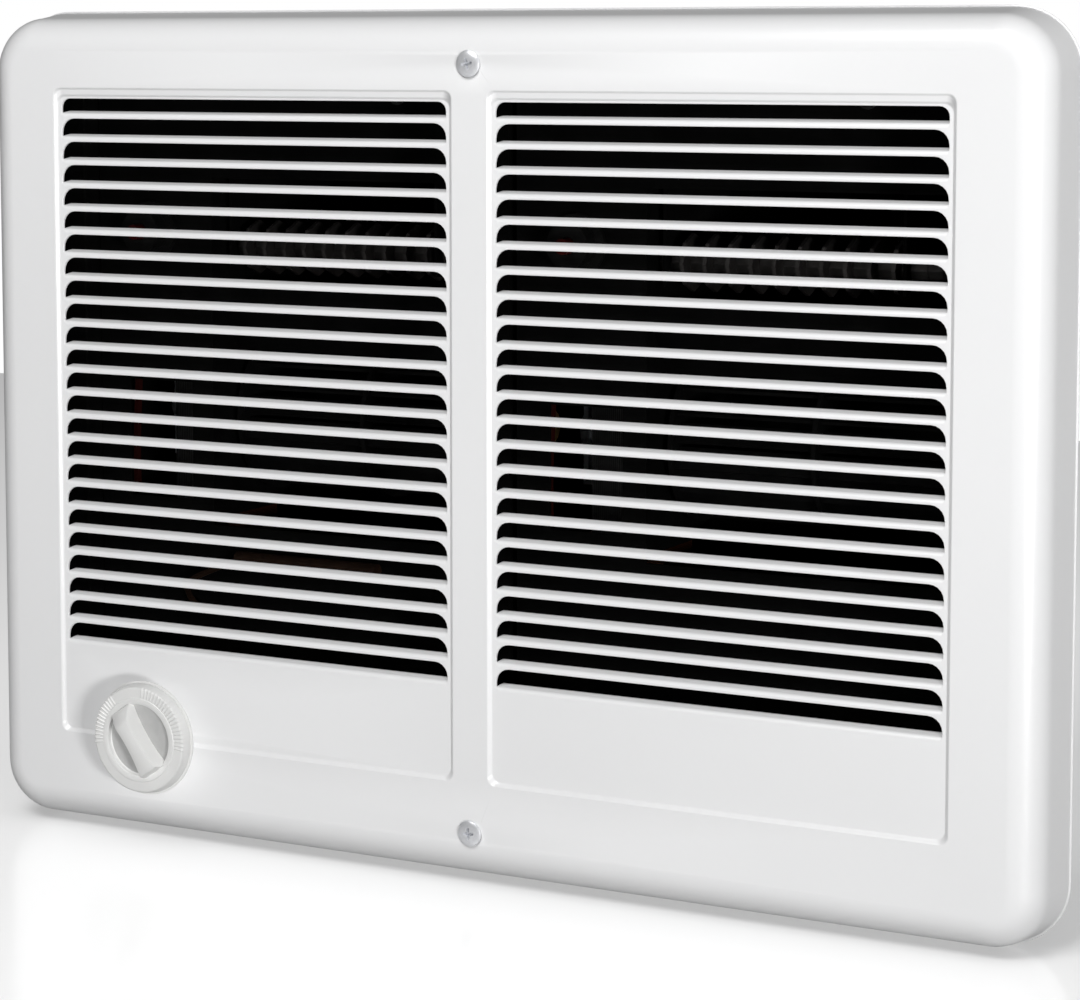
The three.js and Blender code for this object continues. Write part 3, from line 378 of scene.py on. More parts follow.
def make_materials():
    return {
        "white_enamel": enamel("white_enamel"),
        "white_plastic": surface("white_plastic", (0.71, 0.71, 0.7), (0.74, 0.74, 0.73), (0.36, 0.42),
                                 patch=0.008, grain=0.0004, relief=0.00001, strength=0.3),
        # a rougher real texture; its darker grey than white_plastic is painted shade of the dial's recessed
        # dish
        "matt_plastic": surface("matt_plastic", (0.43, 0.43, 0.425), (0.47, 0.47, 0.465), (0.55, 0.65),
                                patch=0.004, grain=0.0003, relief=0.00002, strength=0.5),
        "zinc_steel": galvanised("zinc_steel"),
        # painted shade: far darker than real black enamel, standing in for the shade on the decks, housing,
        # supports and the can's inside
        "black_enamel": surface("black_enamel", grey(0.0015), grey(0.003), (0.7, 0.85), patch=0.012,
                                specular=0.03),
        # painted shade: steel made near black, standing in for the shade on the screws inside
        "screw_steel": surface("screw_steel", grey(0.006), grey(0.012), (0.4, 0.55), 0.3, patch=0.003,
                               grain=0.0003, relief=0.00001, specular=0.2),
        "cover_screw_steel": surface("cover_screw_steel", (0.82, 0.83, 0.86), (0.9, 0.91, 0.93), (0.28, 0.4),
                                     0.6, patch=0.0012, grain=0.0003, relief=0.00001),
        # painted shade: the motors' laminations made near black, standing in for the shade inside
        "laminated_steel": layered("laminated_steel", grey(0.01), grey(0.04), 0.0008, "X", 0.6,
                                   (0.5, 0.65), 0.0001),
        # painted shade: the coils' copper made dark brown, standing in for the shade inside
        "copper_winding": layered("copper_winding", (0.05, 0.014, 0.006), (0.12, 0.035, 0.014), 0.0006, "Z",
                                  0.5, (0.35, 0.5), 0.0002),
        "copper_tube": surface("copper_tube", (0.5, 0.2, 0.1), (0.62, 0.28, 0.16), (0.25, 0.4), 0.9,
                               patch=0.006),
        # painted shade: copper made near black, standing in for the shade on the sensing bulb
        "dull_copper": surface("dull_copper", (0.012, 0.006, 0.0035), (0.02, 0.01, 0.006), (0.55, 0.7), 0.2,
                               patch=0.004, specular=0.1),
        "sintered_bronze": surface("sintered_bronze", (0.28, 0.17, 0.07), (0.4, 0.25, 0.1), (0.4, 0.6), 0.8,
                                   patch=0.002, grain=0.0002, relief=0.00005),
        # real black paint, made far darker still as painted shade of the heater's inside
        "black_aluminium": surface("black_aluminium", grey(0.002), grey(0.004), (0.55, 0.7), patch=0.01,
                                   specular=0.05),
        # painted shade: the elements' steel made near black, standing in for the shade inside; only a faint
        # sheen is left
        "element_steel": surface("element_steel", (0.02, 0.018, 0.017), (0.045, 0.042, 0.04), (0.4, 0.6),
                                 0.7, patch=0.01),
        # real black, made darker still as painted shade of the heater's inside
        "black_phenolic": surface("black_phenolic", grey(0.003), grey(0.006), (0.55, 0.7), patch=0.006,
                                  specular=0.06),
        # painted shade: the red reset buttons made near black, standing in for the shade behind the slots
        "red_plastic": surface("red_plastic", (0.02, 0.0012, 0.001), (0.03, 0.002, 0.0015), (0.4, 0.5),
                               patch=0.002, specular=0.1),
        # painted shade: the red leads made near black, standing in for the shade inside
        "red_insulation": surface("red_insulation", (0.012, 0.0015, 0.001), (0.02, 0.002, 0.0015),
                                  (0.5, 0.6), patch=0.01, specular=0.08),
        # real black, made darker still as painted shade of the heater's inside
        "black_insulation": surface("black_insulation", grey(0.002), grey(0.004), (0.55, 0.7), patch=0.01,
                                    specular=0.06),
        "green_screw": surface("green_screw", (0.02, 0.16, 0.04), (0.03, 0.24, 0.07), (0.25, 0.4), 0.7,
                               patch=0.002),
    }


# ---------------------------------------------------------------- mesh helpers

SAME_PLACE = 1e-6  # metres


class Builder:
    """A mesh made of rings of points, each point with its own surface normal. Lengths in millimetres."""

    def __init__(self):
        self.points, self.normals, self.faces = [], [], []

    def ring(self, points, normals):
        start = len(self.points)
        self.points += [tuple(p) for p in points]
        self.normals += [tuple(Vector(n).normalized()) for n in normals]
        return list(range(start, len(self.points)))

    def bridge(self, a, b):
        for i in range(len(a)):
            j = (i + 1) % len(a)
            self.faces.append((a[i], a[j], b[j], b[i]))

    def chain(self, rings):
        for a, b in zip(rings, rings[1:]):
            self.bridge(a, b)

    def plane(self, loops, towards_front):
        """Fills the flat area inside the first loop and outside the others."""
        bm = bmesh.new()
        key = {}
        for loop in loops:
            made = [bm.verts.new(self.points[i]) for i in loop]
            for vert, i in zip(made, loop):
                key[vert] = i
            for a, b in zip(made, made[1:] + made[:1]):
                bm.edges.new((a, b))
        normal = (0, -1 if towards_front else 1, 0)
        bmesh.ops.triangle_fill(bm, edges=bm.edges[:], use_beauty=True, normal=normal)
        for face in bm.faces:
            order = [key[v] for v in face.verts]
            face.normal_update()
            if (face.normal.y < 0) != towards_front:
                order.reverse()
            self.faces.append(tuple(order))
        bm.free()

    def mesh(self, name):
        data = bpy.data.meshes.new(name)
        data.from_pydata([[c * MM for c in p] for p in self.points], [], self.faces)
        for polygon in data.polygons:
            polygon.use_smooth = True
        data.normals_split_custom_set_from_vertices(self.normals)
        return data


def as_object(name, data, material):
    made = bpy.data.objects.new(name, data)
    data.materials.append(material)
    bpy.context.scene.collection.objects.link(made)
    return made


def piece(made, body, node):
    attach(made, body)
    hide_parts(node)
    return made


def smooth_faces(bm, degrees):
    """Shades faces smooth where they meet at less than that angle."""
    limit = math.radians(degrees)
    for face in bm.faces:
        face.smooth = True
    for edge in bm.edges:
        edge.smooth = len(edge.link_faces) == 2 and edge.calc_face_angle() < limit


def from_bmesh(name, bm, material):
    """An object from a closed bmesh in millimetres."""
    bmesh.ops.recalc_face_normals(bm, faces=bm.faces)
    bmesh.ops.scale(bm, vec=(MM, MM, MM), verts=bm.verts)
    smooth_faces(bm, SMOOTH_ANGLE)
    data = bpy.data.meshes.new(name)
    bm.to_mesh(data)
    bm.free()
    return as_object(name, data, material)


def clean(made, degrees=SMOOTH_ANGLE):
    """Merges the doubled points that cutting and joining leave, and shades the faces again."""
    bm = bmesh.new()
    bm.from_mesh(made.data)
    bmesh.ops.remove_doubles(bm, verts=bm.verts, dist=SAME_PLACE)
    bmesh.ops.dissolve_degenerate(bm, edges=bm.edges, dist=SAME_PLACE)
    smooth_faces(bm, degrees)
    bm.to_mesh(made.data)
    bm.free()


def arc_points(cx, cz, radius, start, end, steps):
    angles = [math.radians(start + (end - start) * i / steps) for i in range(steps + 1)]
    return [(cx + radius * math.cos(a), cz + radius * math.sin(a)) for a in angles]


def circle_points(cx, cz, radius):
    return arc_points(cx, cz, radius, 0, 360, HOLE_SIDES)[:-1]


def rounded_outline(x0, x1, z0, z1, corner, steps):
    """Points and outward directions of a rectangle with round corners, anticlockwise from the front."""
    points, outward = [], []
    for cx, cz, start in ((x1 - corner, z0 + corner, -90), (x1 - corner, z1 - corner, 0),
                          (x0 + corner, z1 - corner, 90), (x0 + corner, z0 + corner, 180)):
        points += arc_points(cx, cz, corner, start, start + 90, steps)
        outward += arc_points(0, 0, 1, start, start + 90, steps)
    return points, outward


def spin_point(u, v, along, centre, axis):
    place = {"X": (along, u, v), "Y": (u, along, v), "Z": (u, v, along)}[axis]
    return [p + c for p, c in zip(place, centre)]


def lathe(bm, profile, centre, steps, axis="Y"):
    """Adds a solid of revolution. profile lists (radius, place along the axis), from end to end."""
    rings = []
    for radius, along in profile:
        if radius == 0:
            rings.append([bm.verts.new(spin_point(0, 0, along, centre, axis))])
            continue
        ring = []
        for i in range(steps):
            angle = 2 * math.pi * i / steps
            place = spin_point(radius * math.cos(angle), radius * math.sin(angle), along, centre, axis)
            ring.append(bm.verts.new(place))
        rings.append(ring)
    join_rings(bm, rings, steps)


def join_rings(bm, rings, steps):
    """Faces from each ring to the next. A ring has steps points, or only one, on the axis."""
    for a, b in zip(rings, rings[1:]):
        for i in range(steps):
            j = (i + 1) % steps
            corners = [a[i % len(a)], a[j % len(a)], b[j % len(b)], b[i % len(b)]]
            bm.faces.new([v for k, v in enumerate(corners) if v not in corners[:k]])


def close_rings(bm, rings):
    """A closed solid through rings of the same number of points."""
    join_rings(bm, rings, len(rings[0]))
    bm.faces.new(rings[0])
    bm.faces.new(rings[-1])


def add_box(bm, x0, x1, y0, y1, z0, z1, bevel):
    made = bmesh.ops.create_cube(bm, size=1)["verts"]
    bmesh.ops.scale(bm, vec=(x1 - x0, y1 - y0, z1 - z0), verts=made)
    bmesh.ops.translate(bm, vec=((x0 + x1) / 2, (y0 + y1) / 2, (z0 + z1) / 2), verts=made)
    edges = list({e for v in made for e in v.link_edges})
    bmesh.ops.bevel(bm, geom=edges, offset=bevel, segments=2, affect="EDGES", profile=0.5)


def boolean(target, cutter, operation="DIFFERENCE"):
    """Cuts or joins in place and removes the other object."""
    change = target.modifiers.new("boolean", "BOOLEAN")
    change.operation = operation
    change.solver = "EXACT"
    change.object = cutter
    graph = bpy.context.evaluated_depsgraph_get()
    data = bpy.data.meshes.new_from_object(target.evaluated_get(graph))
    target.modifiers.clear()
    old = target.data
    target.data = data
    bpy.data.meshes.remove(old)
    bpy.data.objects.remove(cutter)


def node_box(name):
    low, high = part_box(name)
    return [v / MM for v in low], [v / MM for v in high]


# ---------------------------------------------------------------- cover


def slot_outline(x0, x1, z0, z1, corner):
    """Points, outward directions and lip shares of one slot, anticlockwise from its lower left corner."""
    rise = [(0.0, 0.0), (LIP_MIDWAY * LIP_TAPER, 0.5), (LIP_TAPER, 1.0)]
    lower = [(x0 + along, lip) for along, lip in rise] + [(x1 - along, lip) for along, lip in reversed(rise)]
    rows = [((x, z0), (0, -1), lip) for x, lip in lower]
    rows[0] = ((x0, z0), (-SHARP_CORNER_REACH, -SHARP_CORNER_REACH), 0.0)
    rows[-1] = ((x1, z0), (SHARP_CORNER_REACH, -SHARP_CORNER_REACH), 0.0)
    for cx, start in ((x1 - corner, 0), (x0 + corner, 90)):
        places = arc_points(cx, z1 - corner, corner, start, start + 90, SLOT_CORNER_STEPS)
        ways = arc_points(0, 0, 1, start, start + 90, SLOT_CORNER_STEPS)
        rows += [(p, w, 0.0) for p, w in zip(places, ways)]
    return rows


def slot_section(k, lip):
    """How far outside the slot and how deep its k-th ring lies, where lip is the lip's share."""
    k = min(max(k, 0), len(SLOT_EDGE) - 1)
    return [plain + (curled - plain) * lip for plain, curled in zip(SLOT_EDGE[k], SLOT_LIP[k])]


def slot_rings(builder, face_y, x0, x1, z0, z1, corner):
    """The rolled edge and lip of one slot. Returns its first ring on the face and its last on the back."""
    rows = slot_outline(x0, x1, z0, z1, corner)
    last = len(SLOT_EDGE) - 1
    rings = []
    for k in range(last + 1):
        points, normals = [], []
        for (x, z), (ox, oz), lip in rows:
            reach, depth = slot_section(k, lip)
            points.append((x + ox * reach, face_y + depth, z + oz * reach))
            before, after = slot_section(k - 1, lip), slot_section(k + 1, lip)
            out, deep = after[0] - before[0], after[1] - before[1]
            if k in (0, last):
                out, deep = (1.0 if k else -1.0), 0.0
            normals.append((-ox * deep, out, -oz * deep))
        rings.append(builder.ring(points, normals))
    builder.chain(rings)
    return rings[0], rings[-1]


def field_step(builder, x0, x1, z0, z1, start_y, grow, inside):
    """The pressed border of one field, from the cover's face to the recessed face. Returns its end rings."""
    side = 1 if inside else -1
    rings = []
    for t, top, top_lean in FIELD_STEP:
        inward = FIELD_SLOPE * t - grow
        points, outward = rounded_outline(x0 + inward, x1 - inward, z0 + inward, z1 - top + grow,
                                          FIELD_CORNER, FIELD_CORNER_STEPS)
        y = start_y + FIELD_RECESS * (3 * t * t - 2 * t ** 3)
        lean = FIELD_RECESS * 6 * t * (1 - t) / FIELD_SLOPE
        normals = [(ox * lean * side, side, oz * (top_lean if oz > 0 else lean) * side)
                   for ox, oz in outward]
        rings.append(builder.ring([(x, y, z) for x, z in points], normals))
    builder.chain(list(reversed(rings)) if inside else rings)
    return rings[0], rings[-1]


def cover_wall(builder, half_x, half_z, front_y, inset, inside):
    """The side walls and the rolled edge, from the wall surface to the front. Returns the end rings."""
    edge = COVER_EDGE - inset
    wall_y = front_y + inset + edge
    rows = [(inward, y, math.radians(tilt)) for inward, y, tilt in (HEM_INSIDE if inside else HEM_OUTSIDE)]
    start, start_y, _ = rows[-1]
    for t in (0.5, 1.0):
        rows.append((start + (COVER_FLARE - start) * t, start_y + (wall_y - start_y) * t, 0.0))
    for i in range(1, COVER_ROUND_STEPS + 1):
        angle = math.pi / 2 * i / COVER_ROUND_STEPS
        rows.append((COVER_FLARE + edge * (1 - math.cos(angle)), wall_y - edge * math.sin(angle), angle))
    lean = math.atan2(COVER_FLARE, abs(wall_y))
    side = -1 if inside else 1
    rings = []
    for inward, y, angle in rows:
        reach_x, reach_z = half_x - inset - inward, half_z - inset - inward
        points, outward = rounded_outline(-reach_x, reach_x, -reach_z, reach_z,
                                          COVER_CORNER - inset - inward, COVER_ROUND_STEPS)
        tilt = max(angle, lean)
        across, ahead = side * math.cos(tilt), -side * math.sin(tilt)
        rings.append(builder.ring([(x, y, z) for x, z in points],
                                  [(ox * across, ahead, oz * across) for ox, oz in outward]))
    builder.chain(list(reversed(rings)) if inside else rings)
    return rings[0], rings[-1]


def circle_edge(builder, cx, cz, radius, y0, y1):
    """The wall of a round hole through the sheet. Returns its front and back rings."""
    points = circle_points(cx, cz, radius)
    inwards = [(-ox, 0, -oz) for ox, oz in circle_points(0, 0, 1)]
    front = builder.ring([(x, y0, z) for x, z in points], [(0, -1, 0)] * HOLE_SIDES)
    inner = [builder.ring([(x, y, z) for x, z in points], inwards) for y in (y0, y1)]
    back = builder.ring([(x, y1, z) for x, z in points], [(0, 1, 0)] * HOLE_SIDES)
    builder.chain([front, *inner, back])
    return front, back


def fill_sheet(builder, edges):
    """The flat sheet between edges, each a ring on its front and one on its back, the outermost first."""
    builder.plane([front for front, _ in edges], True)
    builder.plane([back for _, back in edges], False)


def cover_field(builder, side, half_x, half_z, front_y):
    """One recessed field with its slots. Returns its border's rings on the cover's face and back."""
    x0, x1 = sorted((side * (half_x - FIELD_SIDE_INSET), side * FIELD_INNER_X))
    z0, z1 = -half_z + FIELD_BOTTOM_INSET, half_z - FIELD_TOP_INSET
    face_y = front_y + FIELD_RECESS
    border, face = field_step(builder, x0, x1, z0, z1, front_y, 0.0, False)
    back_border, back = field_step(builder, x0, x1, z0, z1, front_y + SHEET, SHEET * FIELD_BACK_GROWTH, True)
    edges = [(face, back)]
    for slot in range(SLOT_COUNT):
        height, corner = (SLOT_HEIGHT, SLOT_CORNER) if slot else (FIRST_SLOT_HEIGHT, FIRST_SLOT_CORNER)
        low = z1 - FIRST_SLOT_INSET - slot * SLOT_PITCH
        edges.append(slot_rings(builder, face_y, x0 + SLOT_SIDE_MARGIN, x1 - SLOT_SIDE_MARGIN, low,
                                low + height, corner))
    if side < 0:
        edges.append(circle_edge(builder, *DIAL_PLACE, DIAL_HOLE, face_y, face_y + SHEET))
    fill_sheet(builder, edges)
    return border, back_border


def build_cover(white):
    low, high = node_box("front_cover")
    half_x, half_z, front_y = high[0], high[2], low[1]
    builder = Builder()
    rim_outer, face_outer = cover_wall(builder, half_x, half_z, front_y, 0.0, False)
    rim_inner, back_outer = cover_wall(builder, half_x, half_z, front_y, SHEET, True)
    builder.bridge(rim_inner, rim_outer)
    edges = [(face_outer, back_outer)]
    edges += [cover_field(builder, side, half_x, half_z, front_y) for side in (-1, 1)]
    edges += [circle_edge(builder, 0, side * (half_z - SCREW_INSET), SCREW_HOLE, front_y, front_y + SHEET)
              for side in (-1, 1)]
    fill_sheet(builder, edges)
    cover = as_object("cover_sheet", builder.mesh("cover_sheet"), white)
    return piece(cover, "housing", "front_cover")


# ---------------------------------------------------------------- wall can


def can_ring(builder, half, inward, corner, y):
    reach_x, reach_z = half[0] - inward, half[1] - inward
    points, _ = rounded_outline(-reach_x, reach_x, -reach_z, reach_z, corner, CAN_CORNER_STEPS)
    return builder.ring([(x, y, z) for x, z in points], [(0, -1, 0)] * len(points))


def hole_ring(builder, cz, y):
    points = circle_points(0, cz, SCREW_CLEARANCE)
    return builder.ring([(x, y, z) for x, z in points], [(0, -1, 0)] * HOLE_SIDES)


def can_shell():
    """The folded box with its flange: one closed sheet with rounded bends."""
    builder = Builder()
    bend = [math.radians(90 * i / CAN_BEND_STEPS) for i in range(CAN_BEND_STEPS + 1)]
    bend_y, inner_bend = CAN_BACK - CAN_BEND, CAN_BEND - CAN_SHEET
    edge_front = can_ring(builder, FLANGE_HALF, 0, FLANGE_CORNER, -CAN_SHEET)
    edge_back = can_ring(builder, FLANGE_HALF, 0, FLANGE_CORNER, 0)
    mouth = [can_ring(builder, CAN_HALF, CAN_SHEET * math.sin(a), MOUTH_CORNER, -CAN_SHEET * math.cos(a))
             for a in bend]
    inside = [can_ring(builder, CAN_HALF, CAN_SHEET + inner_bend * (1 - math.cos(a)), CAN_CORNER - CAN_SHEET,
                       bend_y + inner_bend * math.sin(a)) for a in bend]
    outside = [can_ring(builder, CAN_HALF, CAN_BEND * (1 - math.cos(a)), CAN_CORNER,
                        bend_y + CAN_BEND * math.sin(a)) for a in bend]
    root = can_ring(builder, CAN_HALF, 0, CAN_CORNER, 0)
    holes_front = [hole_ring(builder, z, -CAN_SHEET) for z in (COVER_SCREW_Z, -COVER_SCREW_Z)]
    holes_back = [hole_ring(builder, z, 0) for z in (COVER_SCREW_Z, -COVER_SCREW_Z)]
    builder.plane([edge_front, mouth[0], *holes_front], True)
    builder.chain([*mouth, *inside])
    builder.plane([inside[-1]], True)
    builder.bridge(edge_back, edge_front)
    builder.plane([edge_back, root, *holes_back], False)
    builder.chain([*reversed(outside), root])
    builder.plane([outside[-1]], False)
    for front, back in zip(holes_front, holes_back):
        builder.bridge(front, back)
    bm = bmesh.new()
    verts = [bm.verts.new(p) for p in builder.points]
    for face in builder.faces:
        bm.faces.new([verts[i] for i in face])
    return bm


def drill(bm, radius, ends, centre, axis):
    """Adds the cutter of a round hole."""
    start, end = ends
    lathe(bm, [(0, start), (radius, start), (radius, end), (0, end)], centre, HOLE_SIDES, axis)


def knockout(bm, centre, axis, outwards):
    lathe(bm, [(radius, outwards * out) for radius, out in KNOCKOUT_PROFILE], centre, KNOCKOUT_SIDES, axis)


def lap(bm, side, up):
    """A tab of the top or bottom wall that lies on a side wall, with its spot welds."""
    outside = CAN_HALF[0] + LAP_SHEET
    x0, x1 = sorted((side * (CAN_HALF[0] - LAP_SINK), side * outside))
    z0, z1 = sorted((up * (CAN_HALF[1] - LAP_INSET), up * (CAN_HALF[1] - LAP_INSET - LAP_WIDTH)))
    add_box(bm, x0, x1, *LAP_SPAN, z0, z1, LAP_BEVEL)
    for y in WELDS:
        lathe(bm, [(radius, side * out) for radius, out in WELD_PROFILE], (side * outside, y, (z0 + z1) / 2),
              WELD_SIDES, "X")


def inner_tab(bm, centre, up):
    """A tab bent in from the top or bottom wall, to take a deck's screw."""
    half_wide, reach = TAB_SIZE[0] / 2, TAB_SIZE[1]
    z0, z1 = sorted((up * (CAN_HALF[1] - CAN_SHEET - reach), up * (CAN_HALF[1] - CAN_SHEET / 2)))
    add_box(bm, centre - half_wide, centre + half_wide, TAB_FRONT, TAB_FRONT + CAN_SHEET, z0, z1, TAB_BEVEL)


def build_can(zinc, black):
    can = from_bmesh("wall_box", can_shell(), zinc)
    holes = bmesh.new()
    for y, z in STUD_HOLES:
        drill(holes, STUD_HOLE_RADIUS, STUD_DRILL, (0, y, z), "X")
    drill(holes, SCREW_CLEARANCE, GROUND_DRILL, (*GROUND_HOLE, 0), "Z")
    boolean(can, from_bmesh("holes", holes, zinc))
    extras = bmesh.new()
    for side in (-1, 1):
        knockout(extras, (side * KNOCKOUT_X, CAN_BACK, KNOCKOUT_Z), "Y", 1)
        knockout(extras, (side * KNOCKOUT_X, KNOCKOUT_Y, -CAN_HALF[1]), "Z", -1)
        for up in (-1, 1):
            lap(extras, side, up)
    for centre in TAB_CENTRES:
        for up in (-1, 1):
            inner_tab(extras, centre, up)
    boolean(can, from_bmesh("extras", extras, zinc), "UNION")
    clean(can, CAN_SMOOTH_ANGLE)
    can.data.materials.append(black)
    margin = CAN_SHEET / 2
    for face in can.data.polygons:  # painted shade: the inside and the flange's front get the near-black material, standing in for the shade inside the can
        x, y, z = (c / MM for c in face.center)
        inside = abs(x) < CAN_HALF[0] - margin and abs(z) < CAN_HALF[1] - margin and y < CAN_BACK - margin
        face.material_index = 1 if inside or y < -0.9 * CAN_SHEET else 0
    return piece(can, "housing", "wall_can")


# ---------------------------------------------------------------- dial


def in_rib_sector(degrees):
    return any(start <= degrees % 360 <= end for start, end in RIB_SECTORS)


def dial_disc(bm):
    """The turned disc with its hub, and the fine ribs on part of its ring."""
    first, last = RIB_RINGS
    rings = []
    for k, (radius, behind) in enumerate(DIAL_PROFILE):
        if radius == 0:
            rings.append([bm.verts.new((0, DIAL_FACE + behind, 0))])
            continue
        ring = []
        for i in range(DIAL_STEPS):
            turn = 360 * i / DIAL_STEPS
            ribbed = first <= k <= last and i % RIB_SPACING == 0 and in_rib_sector(turn - GRIP_ANGLE)
            rise = RIB_HEIGHT if ribbed else 0.0
            reach = radius + (rise * RIB_OVERHANG if k >= last - 1 else 0)
            angle = math.radians(turn)
            ring.append(bm.verts.new((reach * math.sin(angle), DIAL_FACE + behind - rise,
                                      reach * math.cos(angle))))
        rings.append(ring)
    join_rings(bm, rings, DIAL_STEPS)


def dial_grip(bm):
    """The grip bar, lofted along its length: waisted, drafted, one end sloped and the other cut steeply."""
    half = GRIP_LENGTH / 2
    rings = []
    for along, drop in GRIP_STATIONS:
        width = GRIP_WAIST / 2 + (GRIP_END - GRIP_WAIST) / 2 * (along / half) ** 2
        top = DIAL_FACE - GRIP_PROUD + drop
        wide = width + GRIP_DRAFT * drop / GRIP_PROUD
        side = [(width + GRIP_DRAFT, DIAL_FACE + GRIP_ROOT)]
        side += [(wide + out, top + below) for out, below in GRIP_SHOULDER]
        section = side + [(-w, y) for w, y in reversed(side)]
        rings.append([bm.verts.new((w, y, along)) for w, y in section])
    close_rings(bm, rings)


def build_dial(material, dish_matt_and_shade):
    disc = bmesh.new()
    dial_disc(disc)
    grip = bmesh.new()
    dial_grip(grip)
    across, height = DIAL_PLACE
    stand = Matrix.Translation((across, 0, height)) @ Matrix.Rotation(-math.radians(GRIP_ANGLE), 4, "Y")
    for part in (disc, grip):
        bmesh.ops.transform(part, matrix=stand, verts=part.verts)
    dial = from_bmesh("thermostat_knob", disc, material)
    boolean(dial, from_bmesh("grip", grip, material), "UNION")
    clean(dial)
    dial.data.materials.append(dish_matt_and_shade)
    dish_y = DIAL_FACE + DIAL_PROFILE[0][1]
    for face in dial.data.polygons:  # the dish's flat bottom is rougher and a darker grey; the darker grey is painted shade of the recess
        if face.normal.y < -0.9 and abs(face.center.y / MM - dish_y) < 0.1:
            face.material_index = 1
    return piece(dial, "dial", "thermostat_dial")


# ---------------------------------------------------------------- cover screws


def screw_head(bm, underside):
    """An oval head: a crown on a thin rounded rim."""
    profile = [(0, underside - HEAD_HEIGHT)]
    for i in range(1, CROWN_STEPS):
        angle = math.radians(90 * i / CROWN_STEPS)
        crown = (HEAD_HEIGHT - HEAD_RIM) * math.cos(angle) ** CROWN_POWER
        profile.append((HEAD_RADIUS * math.sin(angle), underside - HEAD_RIM - crown))
    profile += [(HEAD_RADIUS - inward, underside - above) for inward, above in HEAD_RIM_PROFILE]
    profile.append((0, underside))
    lathe(bm, profile, (0, 0, 0), HEAD_SIDES)


def screw_shank(bm, start, end):
    """A threaded shank: each point's radius follows a ridge that climbs one pitch a turn."""
    count = int((end - start) / THREAD_PITCH * THREAD_STEPS)
    rings = []
    for k in range(count + 1):
        y = start + (end - start) * k / count
        ring = []
        for i in range(SHANK_SIDES):
            share = (y / THREAD_PITCH - i / SHANK_SIDES) % 1.0
            ridge = max(0.0, 1 - abs(share - 0.5) * THREAD_STEEPNESS)
            radius = SHANK_RADIUS - THREAD_DEPTH + THREAD_DEPTH * ridge
            if end - y < TIP_LENGTH:
                radius *= TIP_SHARE + TIP_GROWTH * (end - y)
            angle = 2 * math.pi * i / SHANK_SIDES
            ring.append(bm.verts.new((radius * math.cos(angle), y, radius * math.sin(angle))))
        rings.append(ring)
    close_rings(bm, rings)


def recess_blade(bm, top, turned):
    """The cutter for one tapered slot of a cross recess."""
    sin, cos = math.sin(math.radians(turned)), math.cos(math.radians(turned))
    rings = []
    for long, wide, depth in RECESS:
        corners = ((long, wide), (-long, wide), (-long, -wide), (long, -wide))
        rings.append([bm.verts.new((u * cos - v * sin, top + depth, u * sin + v * cos)) for u, v in corners])
    close_rings(bm, rings)


def build_cover_screw(name, turned, material):
    low, high = node_box(name)
    place = ((low[0] + high[0]) / 2, 0, (low[2] + high[2]) / 2)
    underside = low[1] + HEAD_HEIGHT
    head = bmesh.new()
    screw_head(head, underside)
    shank = bmesh.new()
    screw_shank(shank, underside - SHANK_OVERLAP, high[1])
    made = from_bmesh(name + "_body", head, material)
    boolean(made, from_bmesh("shank", shank, material), "UNION")
    for quarter in (0, 90):
        cutter = bmesh.new()
        recess_blade(cutter, low[1], turned + quarter)
        boolean(made, from_bmesh("recess", cutter, material))
    made.data.transform(Matrix.Translation([c * MM for c in place]))
    clean(made)
    return piece(made, "housing", name)


# ---------------------------------------------------------------- scene


def area_light(name, place, target, size, power):
    data = bpy.data.lights.new(name, "AREA")
    data.energy = power
    data.size = size
    made = bpy.data.objects.new(name, data)
    bpy.context.scene.collection.objects.link(made)
    made.location = place
    made.rotation_euler = (Vector(target) - Vector(place)).to_track_quat("-Z", "Y").to_euler()
    return made


def camera_or_else(tree, seen, other, output):
    """Shows one shader to the camera and lights everything else by the other."""
    path = tree.nodes.new("ShaderNodeLightPath")
    mix = tree.nodes.new("ShaderNodeMixShader")
    tree.links.new(path.outputs["Is Camera Ray"], mix.inputs["Fac"])
    tree.links.new(other.outputs[0], mix.inputs[1])
    tree.links.new(seen.outputs[0], mix.inputs[2])
    tree.links.new(mix.outputs["Shader"], tree.nodes[output].inputs["Surface"])


def add_floor():
    z = CAD_BOX[0].z - FLOOR_GAP
    data = bpy.data.meshes.new("floor")
    data.from_pydata([(-FLOOR_REACH, -FLOOR_REACH, z), (FLOOR_REACH, -FLOOR_REACH, z),
                      (FLOOR_REACH, FLOOR_REACH, z), (-FLOOR_REACH, FLOOR_REACH, z)], [], [(0, 1, 2, 3)])
    made, tree, seen = principled("floor")
    gloss = between(tree, noise(tree, coordinates(tree), 0.3), *FLOOR_ROUGHNESS)
    bounced = tree.nodes.new("ShaderNodeBsdfPrincipled")
    for shader, (albedo, glow) in ((seen, FLOOR_SEEN), (bounced, FLOOR_BOUNCED)):
        tree.links.new(gloss, shader.inputs["Roughness"])
        shader.inputs["Base Color"].default_value = (albedo, albedo, albedo, 1)
        shader.inputs["Emission Color"].default_value = (1, 1, 1, 1)
        shader.inputs["Emission Strength"].default_value = glow
    camera_or_else(tree, seen, bounced, "Material Output")
    floor = as_object("floor", data, made)
    return floor


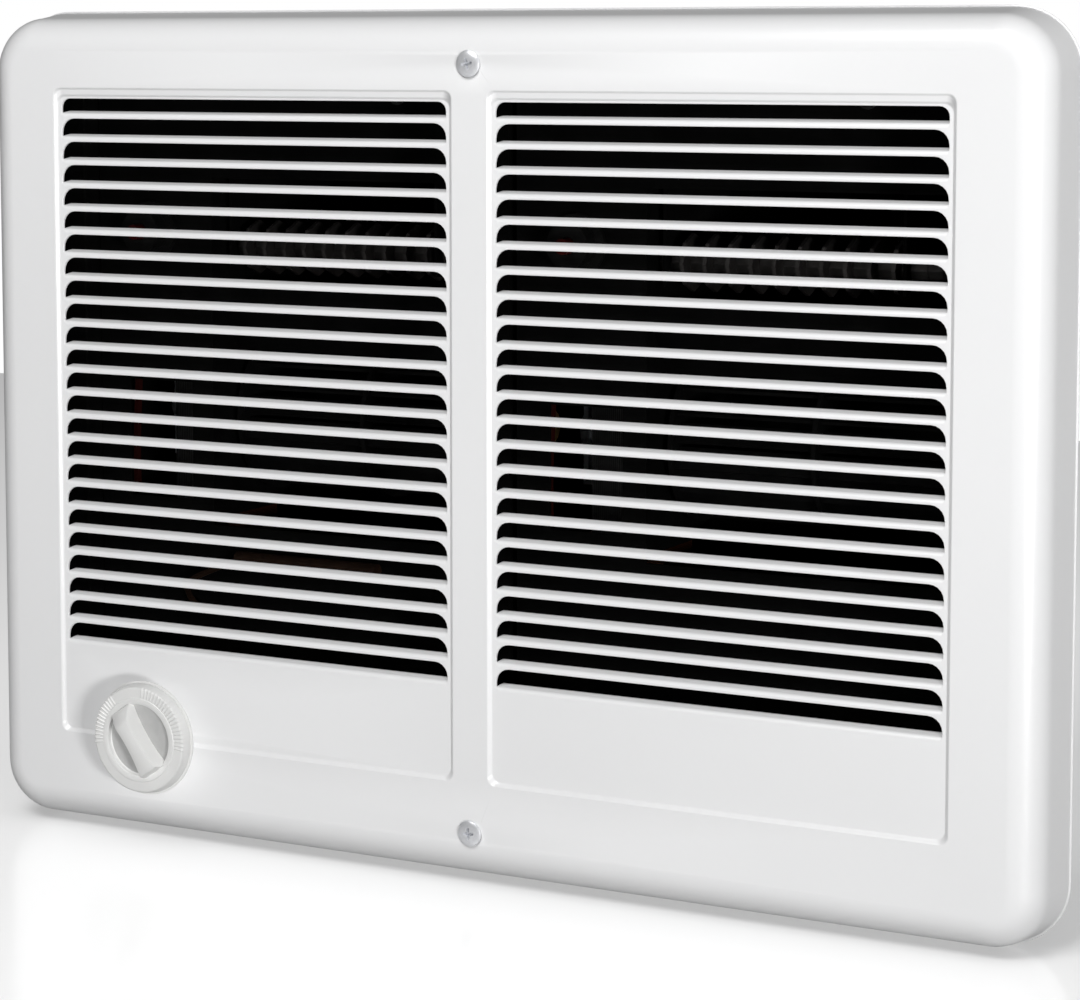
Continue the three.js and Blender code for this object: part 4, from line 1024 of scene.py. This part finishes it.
def add_world():
    """Soft light from all round, dim overhead and on the left. The camera sees it as plain white."""
    world = bpy.data.worlds.new("world")
    world.use_nodes = True
    tree = world.node_tree
    lit = tree.nodes["Background"]
    place = tree.nodes.new("ShaderNodeTexCoord")
    split = tree.nodes.new("ShaderNodeSeparateXYZ")
    tree.links.new(place.outputs["Generated"], split.inputs["Vector"])
    height = between(tree, split.outputs["Z"], *WORLD_HEIGHTS, *WORLD_HEIGHT_SPAN)
    across = between(tree, split.outputs["X"], *WORLD_SIDES, *WORLD_SIDE_SPAN)
    product = tree.nodes.new("ShaderNodeMath")
    product.operation = "MULTIPLY"
    tree.links.new(height, product.inputs[0])
    tree.links.new(across, product.inputs[1])
    tree.links.new(product.outputs["Value"], lit.inputs["Strength"])
    seen = tree.nodes.new("ShaderNodeBackground")
    seen.inputs["Strength"].default_value = 1.0
    seen.inputs["Color"].default_value = (1, 1, 1, 1)
    camera_or_else(tree, seen, lit, "World Output")
    bpy.context.scene.world = world


def group(name, members, state="INCLUDE"):
    """The only objects that a light reaches, or else the ones that it leaves out."""
    made = bpy.data.collections.new(name)
    for i, member in enumerate(members):
        made.objects.link(member)
        made.collection_objects[i].light_linking.link_state = state
    return made


def add_lights(floor, cover, dial):
    """A small hard light from the right, a soft one above, one for the floor alone and one for the back."""
    centre = (0, 0, 0)
    area_light("key", KEY_PLACE, centre, KEY_SIZE, KEY_POWER)
    top = area_light("top", TOP_PLACE, centre, TOP_SIZE, TOP_POWER)
    top.light_linking.blocker_collection = group("top_light_blockers", [dial], "EXCLUDE")
    above = area_light("floor_light", FLOOR_LIGHT_PLACE, FLOOR_LIGHT_TARGET, FLOOR_LIGHT_SIZE,
                       FLOOR_LIGHT_POWER)
    above.light_linking.receiver_collection = group("floor_light_receivers", [floor])
    behind = area_light("back", BACK_PLACE, centre, BACK_SIZE, BACK_POWER)
    behind.light_linking.receiver_collection = group("back_light_receivers", [floor, cover], "EXCLUDE")
    add_world()
    bpy.context.scene.view_settings.view_transform = "Standard"


def finish_nodes(materials):
    """Gives each solid its slot's material, apart from two parts inside that get near-black stand-ins as
    painted shade, so that they stay dark through the slots.
    """
    for entry in frame["record"]["subparts"]:
        finish = entry["material_slot"]
        for part, darker in PAINTED_SHADE_FINISHES.items():
            if part in entry["node"]:
                finish = darker
        data = frame["nodes"][entry["node"]].data
        data.materials.clear()
        data.materials.append(materials[finish])


# ---------------------------------------------------------------- assembly

add_camera()
materials = make_materials()
finish_nodes(materials)
cover = build_cover(materials["white_enamel"])
build_can(materials["zinc_steel"], materials["black_enamel"])
dial = build_dial(materials["white_plastic"], materials["matt_plastic"])
for screw, turned in RECESS_TURNS.items():
    build_cover_screw(screw, turned, materials["cover_screw_steel"])
add_lights(add_floor(), cover, dial)
